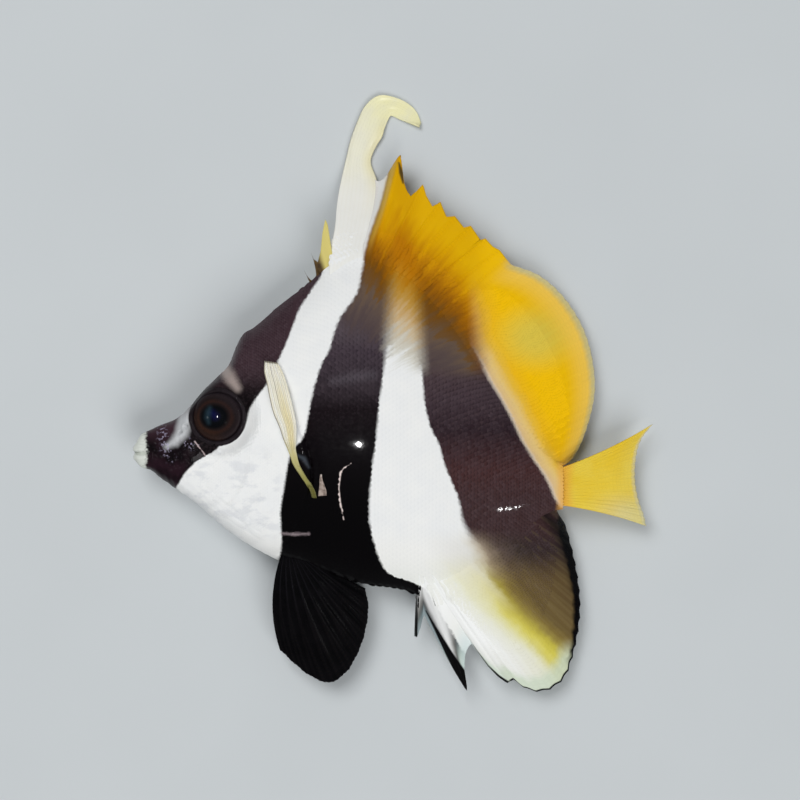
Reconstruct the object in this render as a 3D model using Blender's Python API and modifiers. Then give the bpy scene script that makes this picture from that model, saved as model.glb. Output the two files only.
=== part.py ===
# Masked bannerfish (Heniochus monoceros), life size, lying on its right side.
#
# Row frame, in metres: the floor is z = 0, +Z points up out of the fish's left flank, +X runs from
# snout to tail and +Y from belly to back. The origin is the middle of the small flat on which the
# right flank rests. All sizes below are in millimetres and are turned into metres when they are used.

import math

import bmesh
import bpy
import numpy as np
from mathutils import Vector

# The scene starts empty, with one collection for the fish and one for what shapes it.
for old in list(bpy.data.objects):
    bpy.data.objects.remove(old)
FISH = bpy.data.collections.new("masked_bannerfish")
TOOLS = bpy.data.collections.new("cutters")
bpy.context.scene.collection.children.link(FISH)
bpy.context.scene.collection.children.link(TOOLS)

MM = 0.001

# Driving dimensions.
MID_HEIGHT = 6.1          # height of the fish's plane of symmetry above the floor
GAP = 0.3                 # gap between neighbouring pieces
SNOUT_X = -33.7           # front of the lips
TAIL_X = 33.2             # hind end of the tail stalk
SNOUT_ROUND = 1.5         # radius to which the lips are rounded
TAIL_ROUND = 0.4          # the same at the end of the tail stalk
CREST = 0.6               # half thickness of the body's edges, where the fins stand on it
STATIONS = 64             # cross sections along the body
RING = 36                 # points round each cross section

# The body's outline, as (x, y): back edge, belly edge, level of the greatest width.
BACK = [(-33.7, 2.0), (-32.6, 3.0), (-31.2, 3.7), (-29.5, 4.5), (-26.7, 5.7), (-24.8, 7.4), (-22.8, 9.8),
        (-20.5, 12.1), (-18.6, 14.2), (-17.4, 16.4), (-16.5, 18.0), (-15.0, 19.1), (-10.9, 22.6),
        (-6.5, 26.2), (-4.0, 28.6), (-1.4, 30.6), (1.6, 31.5), (4.7, 31.1), (7.8, 29.8), (10.9, 27.6),
        (14.0, 24.4), (17.1, 20.5), (20.2, 15.6), (24.8, 7.8), (27.4, 3.8), (30.2, 0.3), (31.8, -1.0),
        (33.2, -1.5)]
BELLY = [(-33.7, -1.3), (-32.6, -2.0), (-31.2, -2.4), (-29.5, -3.6), (-26.8, -5.6), (-23.3, -8.1),
         (-20.2, -10.9), (-17.1, -13.2), (-14.0, -15.0), (-11.3, -16.4), (-7.8, -17.4), (-3.1, -18.7),
         (1.6, -20.0), (7.8, -20.9), (10.9, -21.8), (13.2, -21.6), (17.1, -19.8), (20.9, -17.4),
         (24.8, -14.4), (27.9, -11.6), (29.9, -9.7), (31.8, -8.8), (33.2, -8.6)]
WIDEST = [(-33.7, 0.2), (-26.0, 0.2), (-20.0, 0.5), (-10.0, 0.0), (0.0, 0.0), (10.0, -0.8), (20.0, -2.6),
          (28.0, -4.4), (33.2, -5.1)]
HALF_WIDTH = [(-33.7, 1.6), (-31.4, 2.0), (-29.5, 2.3), (-26.7, 3.0), (-24.0, 3.8), (-20.5, 4.8),
              (-16.0, 5.6), (-11.0, 6.15), (-6.0, 6.5), (0.0, 6.6), (5.0, 6.4), (10.0, 5.8), (15.0, 4.9),
              (20.0, 3.8), (25.0, 2.7), (29.0, 2.0), (33.2, 1.5)]
# How full the cross section is: the power of the level, high where the back is broad and blunt.
FULLNESS = [(-33.7, 2.2), (-28.0, 2.6), (-24.0, 3.4), (-20.0, 3.2), (-15.0, 2.4), (-8.0, 1.9), (10.0, 1.8),
            (26.0, 2.0), (33.2, 2.2)]

# The eyes, and the flattened orbit that each one sits in.
EYE_X, EYE_Y = -20.3, 5.8
EYE_RADIUS = 4.0
EYE_DEPTH = 1.9           # half of the eyeball's thickness
EYE_OUT = 3.05            # distance of its centre from the plane of symmetry
EYE_SEGMENTS, EYE_RINGS = 22, 10
ORBIT_OUT = 3.95          # distance of the orbit's rim from that plane
ORBIT_REACH = 6.6         # radius at which the orbit has blended into the head

# The hind edge of the head, from the nape down to the throat, as (x, y).
NAPE_CUT = [(-7.4, 30.0), (-8.3, 23.5), (-9.4, 18.4), (-9.9, 12.6)]
GILL_EDGE = [(-9.7, 9.2), (-8.6, 5.6), (-6.9, 1.6), (-6.0, -2.4), (-6.5, -6.4), (-8.0, -10.4), (-10.0, -13.6)]
THROAT_CUT = [(-11.5, -16.0), (-12.6, -20.0)]
# The front edge of the gill cover, from its lower end up.
COVER_FRONT = [(-12.1, -14.3), (-14.6, -12.2), (-16.5, -7.8), (-16.6, -1.6), (-15.5, 4.6), (-13.6, 8.8),
               (-11.7, 9.9)]
COVER_THICK = 1.3
COVER_PROUD = 0.15        # how far the gill cover stands out of the flank
COVER_APART = 1.0         # distance that each cover keeps from the plane of symmetry
TAIL_CUT_X = 28.0         # where the tail stalk leaves the trunk

# The mouth.
JAW_X = -30.6             # hind end of the lips
MOUTH_Y = 0.15            # level of the mouth's corner
MOUTH_OPEN = 0.5          # how far the lips part in front
NOSTRILS = [(-25.2, 4.3), (-26.1, 3.4)]
NOSTRIL_RADIUS, NOSTRIL_DEPTH = 0.38, 0.6

# The fins: thickness of membrane and rays.
MEMBRANE = 0.5
ROOT_THICK = 1.2
RAY_RISE = 0.42           # how much thicker a ray is than the membrane, at its root
SAG_POWER = 1.7           # a fin sags little near its root and more towards its margin


def smooth(points, where):
    """Reads a smooth curve y(x) through the points at one x."""
    x, y = np.array(points, float).T
    slope = np.gradient(y, x)
    i = int(np.clip(np.searchsorted(x, where) - 1, 0, len(x) - 2))
    step = x[i + 1] - x[i]
    s = float(np.clip((where - x[i]) / step, 0.0, 1.0))
    start = (1 + 2 * s) * (1 - s) ** 2 * y[i] + s * (1 - s) ** 2 * step * slope[i]
    end = s * s * (3 - 2 * s) * y[i + 1] - s * s * (1 - s) * step * slope[i + 1]
    return float(start + end)


def along(points, share):
    """The point at this share of the length of a smooth curve through the points."""
    flat = np.array(points, float)
    run = np.concatenate([[0.0], np.cumsum(np.linalg.norm(np.diff(flat, axis=0), axis=1))])
    run = run / run[-1]
    return np.array([smooth(np.column_stack([run, flat[:, k]]), share) for k in range(flat.shape[1])])


def dense(points, count):
    return [along(points, i / (count - 1)) for i in range(count)]


def ease(value, low, high):
    """0 at low, 1 at high, smooth between."""
    s = min(1.0, max(0.0, (value - low) / (high - low)))
    return s * s * (3 - 2 * s)


def half_thickness(x, y, grow=0.0):
    """Distance of the skin from the plane of symmetry at (x, y); grow moves the whole skin outwards."""
    x = min(max(x, SNOUT_X), TAIL_X)
    level = smooth(WIDEST, x)
    edge = smooth(BACK, x) if y > level else smooth(BELLY, x)
    t = min(1.0, abs((y - level) / (edge - level + math.copysign(grow, edge - level))))
    power = smooth(FULLNESS, x)
    width = smooth(HALF_WIDTH, x)
    full = 1.35 / power
    body = CREST + (width - CREST) * (1 - t ** power) ** full
    orbit = 1 - ease(math.hypot(x - EYE_X, y - EYE_Y), EYE_RADIUS + GAP, ORBIT_REACH)
    body += (ORBIT_OUT - body) * orbit
    return (body + grow) * math.sqrt(max(0.0, 1 - t ** 12))


def end_scale(x, grow):
    """How far the cross section has closed towards the rounded ends of the body."""
    front = (x - SNOUT_X + grow) / SNOUT_ROUND
    hind = (TAIL_X - x + grow) / TAIL_ROUND
    return math.sqrt(max(0.0, 1 - max(0.0, 1 - min(front, hind)) ** 2))


def material(name, colour, roughness=0.35):
    made = bpy.data.materials.get(name) or bpy.data.materials.new(name)
    made.use_nodes = True
    shader = made.node_tree.nodes["Principled BSDF"]
    shader.inputs["Base Color"].default_value = (*colour, 1.0)
    shader.inputs["Roughness"].default_value = roughness
    shader.inputs["Metallic"].default_value = 0.0
    return made


WHITE_SKIN = ("white_skin", (0.80, 0.80, 0.76))
DARK_SKIN = ("dark_skin", (0.045, 0.030, 0.032))
BANDED_SKIN = ("banded_skin", (0.30, 0.27, 0.27))
CREAM_FIN = ("cream_fin", (0.80, 0.78, 0.58))
ORANGE_FIN = ("orange_fin", (0.72, 0.42, 0.02))
YELLOW_FIN = ("yellow_fin", (0.85, 0.60, 0.03))
BLACK_FIN = ("black_fin", (0.012, 0.012, 0.015))
CLEAR_FIN = ("clear_fin", (0.78, 0.72, 0.45))
OLIVE_FIN = ("olive_fin", (0.35, 0.32, 0.12))
EYE = ("eye", (0.05, 0.025, 0.015))
LIPS = ("lips", (0.72, 0.76, 0.72))


def object_from(name, bm, finish, into=None):
    bmesh.ops.recalc_face_normals(bm, faces=bm.faces)
    mesh = bpy.data.meshes.new(name)
    bm.to_mesh(mesh)
    bm.free()
    mesh.shade_smooth()
    made = bpy.data.objects.new(name, mesh)
    (into or FISH).objects.link(made)
    if finish:
        mesh.materials.append(material(*finish))
    return made


def box_volume(verts):
    low = np.min([v.co for v in verts], axis=0)
    high = np.max([v.co for v in verts], axis=0)
    return float(np.prod(high - low))


def settle(obj):
    """Applies the object's modifiers and keeps only its largest closed surface."""
    bpy.context.view_layer.update()
    graph = bpy.context.evaluated_depsgraph_get()
    mesh = bpy.data.meshes.new_from_object(obj.evaluated_get(graph))
    obj.modifiers.clear()
    bm = bmesh.new()
    bm.from_mesh(mesh)
    bmesh.ops.remove_doubles(bm, verts=bm.verts, dist=1e-7)
    left, islands = set(bm.verts), []
    while left:
        island, edge = set(), [left.pop()]
        while edge:
            vert = edge.pop()
            island.add(vert)
            near = {e.other_vert(vert) for e in vert.link_edges} & left
            left -= near
            edge.extend(near)
        islands.append(island)
    largest = max(islands, key=box_volume)
    bmesh.ops.delete(bm, geom=[v for v in bm.verts if v not in largest], context="VERTS")
    bm.to_mesh(mesh)
    bm.free()
    obj.data = mesh
    mesh.name = obj.name
    return obj


def shape_with(obj, operation, *others):
    """Cuts or joins obj with the other meshes by exact Booleans and applies them."""
    for other in others:
        step = obj.modifiers.new(operation.lower(), "BOOLEAN")
        step.operation = operation
        step.object = other
    return settle(obj)


def copy_of(obj, name, finish=None):
    made = bpy.data.objects.new(name, obj.data.copy())
    FISH.objects.link(made)
    if finish:
        made.data.materials.clear()
        made.data.materials.append(material(*finish))
    return made


def prism(name, outline, low, high):
    """A flat outline in x and y, given in millimetres, from height low to height high."""
    curve = bpy.data.curves.new(name, "CURVE")
    curve.dimensions = "2D"
    curve.fill_mode = "BOTH"
    curve.extrude = (high - low) / 2 * MM
    spline = curve.splines.new("POLY")
    spline.points.add(len(outline) - 1)
    for point, (x, y) in zip(spline.points, outline):
        point.co = (x * MM, y * MM, 0.0, 1.0)
    spline.use_cyclic_u = True
    shape = bpy.data.objects.new(name, curve)
    TOOLS.objects.link(shape)
    shape.location.z = (low + high) / 2 * MM
    bpy.context.view_layer.update()
    mesh = bpy.data.meshes.new_from_object(shape.evaluated_get(bpy.context.evaluated_depsgraph_get()))
    mesh.transform(shape.matrix_world)
    bpy.data.objects.remove(shape)
    bm = bmesh.new()
    bm.from_mesh(mesh)
    bmesh.ops.remove_doubles(bm, verts=bm.verts, dist=1e-7)
    return object_from(name, bm, None, TOOLS)


def grown(outline, distance):
    """The closed outline moved outwards by the distance."""
    points = np.array(outline, float)
    ahead, behind = np.roll(points, -1, axis=0), np.roll(points, 1, axis=0)
    tangent = ahead - behind
    normal = np.column_stack([tangent[:, 1], -tangent[:, 0]])
    normal /= np.linalg.norm(normal, axis=1)[:, None]
    area = np.sum(points[:, 0] * ahead[:, 1] - ahead[:, 0] * points[:, 1])
    return points + normal * distance * math.copysign(1.0, area)


def body_shape(name, grow=0.0):
    """The whole body from lips to tail stalk, as a sphere whose rings become its cross sections."""
    bm = bmesh.new()
    bmesh.ops.create_uvsphere(bm, u_segments=RING, v_segments=STATIONS, radius=1.0)
    for vert in bm.verts:
        s = math.acos(min(1.0, max(-1.0, vert.co.z))) / math.pi
        turn = math.atan2(vert.co.y, vert.co.x)
        pole = math.hypot(vert.co.x, vert.co.y) < 1e-6
        share = 0.45 * s + 0.55 * (1 - math.cos(math.pi * s)) / 2
        x = SNOUT_X - grow + (TAIL_X - SNOUT_X + 2 * grow) * share
        inside = min(max(x, SNOUT_X), TAIL_X)
        level, back, belly = smooth(WIDEST, inside), smooth(BACK, inside), smooth(BELLY, inside)
        t = math.cos(turn)
        reach = (back - level + grow) if t > 0 else (level - belly + grow)
        scale = 0.0 if pole else end_scale(x, grow)
        if abs(t) > 1 - 1e-6:
            out = 0.0
        else:
            out = half_thickness(inside, level + t * reach, grow)
        y = level + (t * reach) * scale
        z = MID_HEIGHT + math.copysign(out * scale, math.sin(turn))
        vert.co = Vector((x, y, z)) * MM
    return object_from(name, bm, None, TOOLS)


def sheet(name, columns, rows, place, thickness, finish):
    """A fin as one closed sheet: place(u, v) gives its middle surface and thickness(u, v) its thickness.

    u runs from the first column to the last and v from root to margin. The grid is split into triangles
    before it is thickened, so that both faces are split alike.
    """
    bm = bmesh.new()
    bmesh.ops.create_grid(bm, x_segments=columns, y_segments=rows, size=1.0)
    weights = {}
    for vert in bm.verts:
        u, v = (vert.co.x + 1) / 2, (vert.co.y + 1) / 2
        vert.co = Vector(place(u, v)) * MM
        weights[vert.index] = thickness(u, v)
    bm.verts.index_update()
    bmesh.ops.triangulate(bm, faces=bm.faces)
    made = object_from(name, bm, finish)
    most = max(weights.values())
    group = made.vertex_groups.new(name="thickness")
    for index, value in weights.items():
        group.add([index], value / most, "REPLACE")
    shell = made.modifiers.new("shell", "SOLIDIFY")
    shell.thickness = most * MM
    shell.offset = 0.0
    shell.vertex_group = "thickness"
    return made


def ray_ridge(u, count):
    """1 on a ray and 0 midway between two rays, for count rays spread from u = 0 to u = 1."""
    return abs(math.cos(math.pi * u * (count - 1)))


def fin_thickness(u, v, count, root=ROOT_THICK):
    """Thickness of a fin with this many rays: thick at the root, with the rays raised."""
    web = MEMBRANE + (root - MEMBRANE) * (1 - v) ** 2.5
    return web + RAY_RISE * (1 - 0.75 * v) * ray_ridge(u, count)


def edge_point(points, x, out):
    """A point beside the body's back or belly edge, moved out of the body by the distance out."""
    step = 0.2
    slope = (smooth(points, x + step) - smooth(points, x - step)) / (2 * step)
    side = 1.0 if points is BACK else -1.0
    normal = np.array([-slope, 1.0]) / math.hypot(slope, 1.0) * side
    return np.array([x, smooth(points, x)]) + normal * out


# Body: head, trunk and tail stalk, parted by cuts of GAP, and the lips.
BLOCK_TOP, BLOCK_HIND = 16.0, 40.0
BLOCK_LOW, BLOCK_HIGH = -30.0, 40.0
LIP_BLOCK = 9.0


def head_edge(shift):
    """The hind edge of the head, moved towards the tail by shift."""
    points = dense(NAPE_CUT + GILL_EDGE + THROAT_CUT, 40)
    return [(x + shift, y) for x, y in points]


def make_body():
    whole = body_shape("whole_body")
    behind_mouth = [(JAW_X + GAP, BLOCK_LOW), (JAW_X + GAP, BLOCK_HIGH)]
    edge = head_edge(0.0)
    head_block = prism("head_block", behind_mouth + [(edge[0][0], BLOCK_HIGH)] + edge
                       + [(edge[-1][0], BLOCK_LOW)], 0.0, BLOCK_TOP)
    edge = head_edge(GAP)
    trunk_block = prism("trunk_block", [(TAIL_CUT_X, BLOCK_LOW), (edge[-1][0], BLOCK_LOW)] + edge[::-1]
                        + [(edge[0][0], BLOCK_HIGH), (TAIL_CUT_X, BLOCK_HIGH)], 0.0, BLOCK_TOP)
    stalk_block = prism("stalk_block", [(TAIL_CUT_X + GAP, BLOCK_LOW), (TAIL_CUT_X + GAP, BLOCK_HIGH),
                                        (BLOCK_HIND, BLOCK_HIGH), (BLOCK_HIND, BLOCK_LOW)], 0.0, BLOCK_TOP)
    slit = MOUTH_OPEN / 2
    ahead = SNOUT_X - 1
    upper_block = prism("upper_block", [(JAW_X, MOUTH_Y + GAP / 2), (ahead, MOUTH_Y + GAP / 2 + slit),
                                        (ahead, LIP_BLOCK), (JAW_X, LIP_BLOCK)], 0.0, BLOCK_TOP)
    lower_block = prism("lower_block", [(JAW_X, MOUTH_Y - GAP / 2), (JAW_X, -LIP_BLOCK), (ahead, -LIP_BLOCK),
                                        (ahead, MOUTH_Y - GAP / 2 - slit)], 0.0, BLOCK_TOP)
    made = {}
    for name, block, finish in (("head", head_block, WHITE_SKIN), ("trunk", trunk_block, BANDED_SKIN),
                                ("tail_stalk", stalk_block, DARK_SKIN), ("upper_jaw", upper_block, LIPS),
                                ("lower_jaw", lower_block, LIPS)):
        made[name] = shape_with(copy_of(whole, name, finish), "INTERSECT", block)
    return made


def ellipsoid(name, centre, radii, segments, rings, finish=None, into=None):
    bm = bmesh.new()
    bmesh.ops.create_uvsphere(bm, u_segments=segments, v_segments=rings, radius=1.0)
    for vert in bm.verts:
        vert.co = Vector(centre) * MM + Vector([c * r * MM for c, r in zip(vert.co, radii)])
    return object_from(name, bm, finish, into)


def make_eyes(head):
    """Two eyeballs, each in a socket that keeps GAP all round."""
    for side, sign in (("left", 1), ("right", -1)):
        centre = (EYE_X, EYE_Y, MID_HEIGHT + sign * EYE_OUT)
        ellipsoid(f"eye_{side}", centre, (EYE_RADIUS, EYE_RADIUS, EYE_DEPTH), EYE_SEGMENTS, EYE_RINGS, EYE)
        socket = ellipsoid(f"socket_{side}", centre, (EYE_RADIUS + GAP, EYE_RADIUS + GAP, EYE_DEPTH + GAP),
                           EYE_SEGMENTS, EYE_RINGS, None, TOOLS)
        shape_with(head, "DIFFERENCE", socket)


def make_nostrils(head):
    for side in (1, -1):
        for number, (x, y) in enumerate(NOSTRILS):
            out = half_thickness(x, y)
            pit = ellipsoid(f"nostril_{side}_{number}", (x, y, MID_HEIGHT + side * out),
                            (NOSTRIL_RADIUS, NOSTRIL_RADIUS, NOSTRIL_DEPTH), 10, 6, None, TOOLS)
            shape_with(head, "DIFFERENCE", pit)


def make_gill_covers(head):
    """The gill covers are plates of COVER_THICK let into the sides of the head."""
    proud = body_shape("proud_body", COVER_PROUD)
    inner = body_shape("inner_body", -COVER_THICK)
    deeper = body_shape("deeper_body", -COVER_THICK - GAP)
    ring = GILL_EDGE + COVER_FRONT
    outline = dense(ring + [ring[0]], 53)[:-1]
    for side, sign in (("left", 1), ("right", -1)):
        near = MID_HEIGHT + sign * COVER_APART
        far = BLOCK_TOP if sign > 0 else 0.0
        block = prism(f"cover_block_{side}", outline, min(near, far), max(near, far))
        cover = shape_with(copy_of(proud, f"gill_cover_{side}", WHITE_SKIN), "INTERSECT", block)
        shape_with(cover, "DIFFERENCE", inner)
        near -= sign * GAP
        far += sign
        pocket = prism(f"cover_pocket_{side}", grown(outline, GAP), min(near, far), max(near, far))
        shape_with(pocket, "DIFFERENCE", deeper)
        shape_with(head, "DIFFERENCE", pocket)


# Dorsal fin. Three short spines, then the long fourth spine with its banner, eight more spines, and
# the rounded soft part with its rays.
FRONT_SPINE_ROOTS = (-6.9, -4.4)             # x of the first and of the third spine
FRONT_SPINE_TIPS = [(-7.1, 27.9), (-5.9, 30.5), (-3.9, 35.4)]
FRONT_SPINE_DIP = 0.55                       # share of its height that the web dips between two of them
FRONT_SPINE_THICK = (0.55, 0.45)             # thickness of their web, and how much thicker a spine is
FRONT_SPINE_TAPER = 0.45
SPINY_ROOTS = (2.9, 15.4)                    # x of the fifth and of the last spine
SPINE_TIPS = [(7.7, 45.7), (11.2, 41.3), (14.1, 38.5), (16.7, 36.5), (19.2, 34.5), (21.3, 32.6),
              (22.9, 30.8), (24.0, 29.6)]
SPINY_NOTCH = 3.9                            # depth of the first notch between two spines
NOTCH_FADE = 0.6                             # depth of each next notch, as a share of the last one
SPINY_RISE, SPINY_DROOP = 0.15, 1.2          # how much stouter its spines are than rays, how far it sags
MEMBRANE_TOP = (5.6, 41.6)                   # where the web joins banner and fifth spine
SOFT_ROOTS = (15.9, 31.9)
SOFT_MARGIN = [(24.6, 29.4), (29.5, 27.7), (33.3, 24.6), (36.1, 20.5), (37.8, 15.5), (38.3, 10.1),
               (37.4, 5.4), (35.9, 1.6), (34.6, -0.4)]
SOFT_RAYS = 24
SOFT_DROOP = 3.4                             # how far the margin of a soft fin sags


def fan(root_edge, roots, margin, droop):
    """A fan of rays from the body's edge to a margin curve, which sags towards its margin."""
    def place(u, v):
        root = edge_point(root_edge, roots[0] + (roots[1] - roots[0]) * u, GAP)
        tip = along(margin, u)
        return (*(root + (tip - root) * v), MID_HEIGHT - droop * v ** SAG_POWER)
    return place


def make_front_spines():
    roots = FRONT_SPINE_ROOTS
    count = len(FRONT_SPINE_TIPS)
    web, spine = FRONT_SPINE_THICK

    def place(u, v):
        root = edge_point(BACK, roots[0] + (roots[1] - roots[0]) * u, GAP)
        tip = np.array([np.interp(u, (0, 0.5, 1), [p[k] for p in FRONT_SPINE_TIPS]) for k in (0, 1)])
        low = (1 - ray_ridge(u, count)) * FRONT_SPINE_DIP
        return (*(root + (tip - root) * v * (1 - low)), MID_HEIGHT)

    sheet("front_spines", 4, 5, place,
          lambda u, v: (web + spine * ray_ridge(u, count)) * (1 - FRONT_SPINE_TAPER * v), DARK_SKIN)


def make_spiny_dorsal():
    spines = len(SPINE_TIPS)
    front = 1 / (2 * spines - 1)             # share of the columns before the first spine

    def place(u, v):
        s = (u - front) / (1 - front)
        root = edge_point(BACK, SPINY_ROOTS[0] + (SPINY_ROOTS[1] - SPINY_ROOTS[0]) * u, GAP)
        if s < -1e-6:
            tip = np.array(MEMBRANE_TOP)
        else:
            column = s * (spines - 1)
            low = int(min(spines - 2, column + 1e-6))
            tip = np.array(SPINE_TIPS[low]) * (low + 1 - column) + np.array(SPINE_TIPS[low + 1]) * (column - low)
            depth = SPINY_NOTCH * NOTCH_FADE ** low * (1 - abs(2 * (column - low) - 1))
            tip = tip + (root - tip) / np.linalg.norm(root - tip) * depth
        return (*(root + (tip - root) * v), MID_HEIGHT - SPINY_DROOP * v ** SAG_POWER)

    def thick(u, v):
        s = max(0.0, (u - front) / (1 - front))
        return fin_thickness(s, v, spines) + SPINY_RISE * ray_ridge(s, spines) * (1 - v)

    sheet("dorsal_fin_spiny", 2 * spines - 1, 6, place, thick, ORANGE_FIN)


def make_soft_dorsal():
    place = fan(BACK, SOFT_ROOTS, SOFT_MARGIN, SOFT_DROOP)
    sheet("dorsal_fin_soft", 2 * SOFT_RAYS - 2, 5, place,
          lambda u, v: fin_thickness(u, v, SOFT_RAYS), YELLOW_FIN)


# Banner: centre line and width, from its foot on the back to its folded tip.
BANNER_LINE = [(-0.5, 30.9), (-0.1, 34.4), (0.8, 38.6), (1.2, 42.2), (1.3, 45.4), (1.9, 48.0), (2.8, 50.6),
               (3.4, 52.4), (4.6, 54.0), (6.4, 54.4), (8.2, 53.5), (9.4, 52.2), (10.6, 50.9)]
BANNER_WIDTH = [(0.0, 5.3), (0.12, 5.5), (0.27, 6.0), (0.39, 5.6), (0.5, 4.3), (0.58, 3.9), (0.66, 4.4),
                (0.72, 4.4), (0.79, 3.8), (0.86, 3.2), (0.94, 2.1), (1.0, 0.8)]
BANNER_FOOT = (-3.0, 2.3)                    # x of the front and of the hind end of its foot
BANNER_WEB = 0.55                            # thickness of its web
BANNER_SPINE = 0.5                           # how much thicker it is on the spine
BANNER_SPINE_TAPER = 0.35                    # how much of that is gone at the tip
BANNER_FOOT_RISE = 0.25                      # how much thicker it is at the foot
BANNER_PARTING = 0.66                        # share of the banner's length where its tip begins
BANNER_FLOOR = 0.45                          # share of its length where it reaches the floor


def ribbon(line, widths, height):
    """A strip along a centre line; height(u, v) is that of its middle surface."""
    def place(u, v):
        centre = along(line, v)
        ahead = along(line, min(1.0, v + 0.02)) - along(line, max(0.0, v - 0.02))
        side = np.array([ahead[1], -ahead[0]]) / np.linalg.norm(ahead)
        point = centre + side * (u - 0.5) * smooth(widths, v)
        return (*point, height(u, v))
    return place


def make_banner():
    length = sum(math.dist(a, b) for a, b in zip(BANNER_LINE, BANNER_LINE[1:]))
    spans = {"banner": (0.0, BANNER_PARTING), "banner_tip": (BANNER_PARTING + GAP / length, 1.0)}

    def thick(u, v):
        spine = (1 - u) ** 3                 # the bony spine runs along the front edge
        return BANNER_WEB + (BANNER_SPINE - BANNER_SPINE_TAPER * v) * spine + BANNER_FOOT_RISE * (1 - v) ** 3

    def height(u, v):
        return MID_HEIGHT + (thick(u, v) / 2 - MID_HEIGHT) * ease(v, 0.0, BANNER_FLOOR)

    strip = ribbon(BANNER_LINE, BANNER_WIDTH, height)
    for name, (low, high) in spans.items():
        def place(u, v, low=low, high=high):
            x, y, z = strip(u, low + (high - low) * v)
            if low + v < 1e-6:               # the foot follows the back
                x, y = edge_point(BACK, BANNER_FOOT[0] + (BANNER_FOOT[1] - BANNER_FOOT[0]) * u, GAP)
            return (x, y, z)
        sheet(name, 5, 13 if low == 0.0 else 9, place,
              lambda u, v, low=low, high=high: thick(u, low + (high - low) * v), CREAM_FIN)


# Anal fin: three spines in front, then the rounded soft part.
ANAL_SPINE_ROOTS = (10.9, 15.6)
ANAL_SPINE_TIPS = [(10.2, -28.8), (18.1, -37.3), (24.4, -36.0)]
ANAL_NOTCHES = [(11.6, -26.3), (18.9, -30.2)]
ANAL_SPINE_RISE, ANAL_SPINE_DROOP = 0.2, 1.6
ANAL_ROOTS = (16.2, 31.3)
ANAL_MARGIN = [(25.2, -35.8), (27.1, -37.0), (29.2, -37.7), (31.4, -37.4), (33.2, -36.2), (34.8, -33.2),
               (35.7, -29.4), (36.0, -25.4), (35.7, -20.2), (34.7, -15.6), (33.6, -12.4), (32.2, -10.8),
               (31.4, -10.0)]
ANAL_RAYS = 18


def make_anal_fin():
    stops = [ANAL_SPINE_TIPS[0], ANAL_NOTCHES[0], ANAL_SPINE_TIPS[1], ANAL_NOTCHES[1], ANAL_SPINE_TIPS[2]]

    def place(u, v):
        root = edge_point(BELLY, ANAL_SPINE_ROOTS[0] + (ANAL_SPINE_ROOTS[1] - ANAL_SPINE_ROOTS[0]) * u, GAP)
        tip = np.array([np.interp(u, np.linspace(0, 1, 5), [p[k] for p in stops]) for k in (0, 1)])
        return (*(root + (tip - root) * v), MID_HEIGHT - ANAL_SPINE_DROOP * v ** SAG_POWER)

    count = len(ANAL_SPINE_TIPS)
    sheet("anal_spines", 8, 6, place,
          lambda u, v: fin_thickness(u, v, count) + ANAL_SPINE_RISE * ray_ridge(u, count) * (1 - v), BLACK_FIN)
    soft = fan(BELLY, ANAL_ROOTS, ANAL_MARGIN, SOFT_DROOP)
    sheet("anal_fin_soft", 2 * ANAL_RAYS - 2, 5, soft, lambda u, v: fin_thickness(u, v, ANAL_RAYS), OLIVE_FIN)


# Tail fin, slightly hollow behind.
TAIL_ROOT = [(33.55, -1.9), (33.6, -5.1), (33.55, -8.3)]
TAIL_MARGIN = [(47.2, 4.6), (45.4, 2.2), (44.6, -1.0), (44.5, -4.2), (45.1, -7.4), (45.9, -9.8), (46.2, -11.3)]
TAIL_RAYS = 17
TAIL_BEND = 0.22                             # how far its outer rays bend outwards, by their length
TAIL_ROOT_THICK = 2.0
TAIL_DROOP, TAIL_SAG_POWER = 2.4, 1.6


def make_tail_fin():
    def place(u, v):
        root, tip = along(TAIL_ROOT, u), along(TAIL_MARGIN, u)
        ray = tip - root
        bend = np.array([ray[1], -ray[0]]) * TAIL_BEND * (0.5 - u) * v * (1 - v)
        return (*(root + ray * v + bend), MID_HEIGHT - TAIL_DROOP * v ** TAIL_SAG_POWER)

    sheet("tail_fin", 2 * TAIL_RAYS - 2, 5, place,
          lambda u, v: fin_thickness(u, v, TAIL_RAYS, TAIL_ROOT_THICK), YELLOW_FIN)


# Pelvic fins: broad black fans under the throat, the left one lying over the right.
PELVIC_ROOTS = (-11.0, -7.0)
PELVIC_MARGIN = [(-10.9, -30.7), (-8.6, -32.9), (-5.9, -34.9), (-3.1, -35.8), (-0.8, -34.4), (1.1, -31.5),
                 (2.5, -27.4), (2.9, -23.6), (2.4, -21.0)]
PELVIC_RAYS = 6
PELVIC_APART = 1.0                           # distance of each root from the plane of symmetry
PELVIC_BULGE = 0.34                          # how far the front edge bows forward, as a share of its length
PELVIC_ROOT_THICK = 1.0
PELVIC_SIDES = [("left", 1, 0.0, 3.0), ("right", -1, -0.02, 4.6)]  # side, its sign, swing in radians, sag


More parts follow.
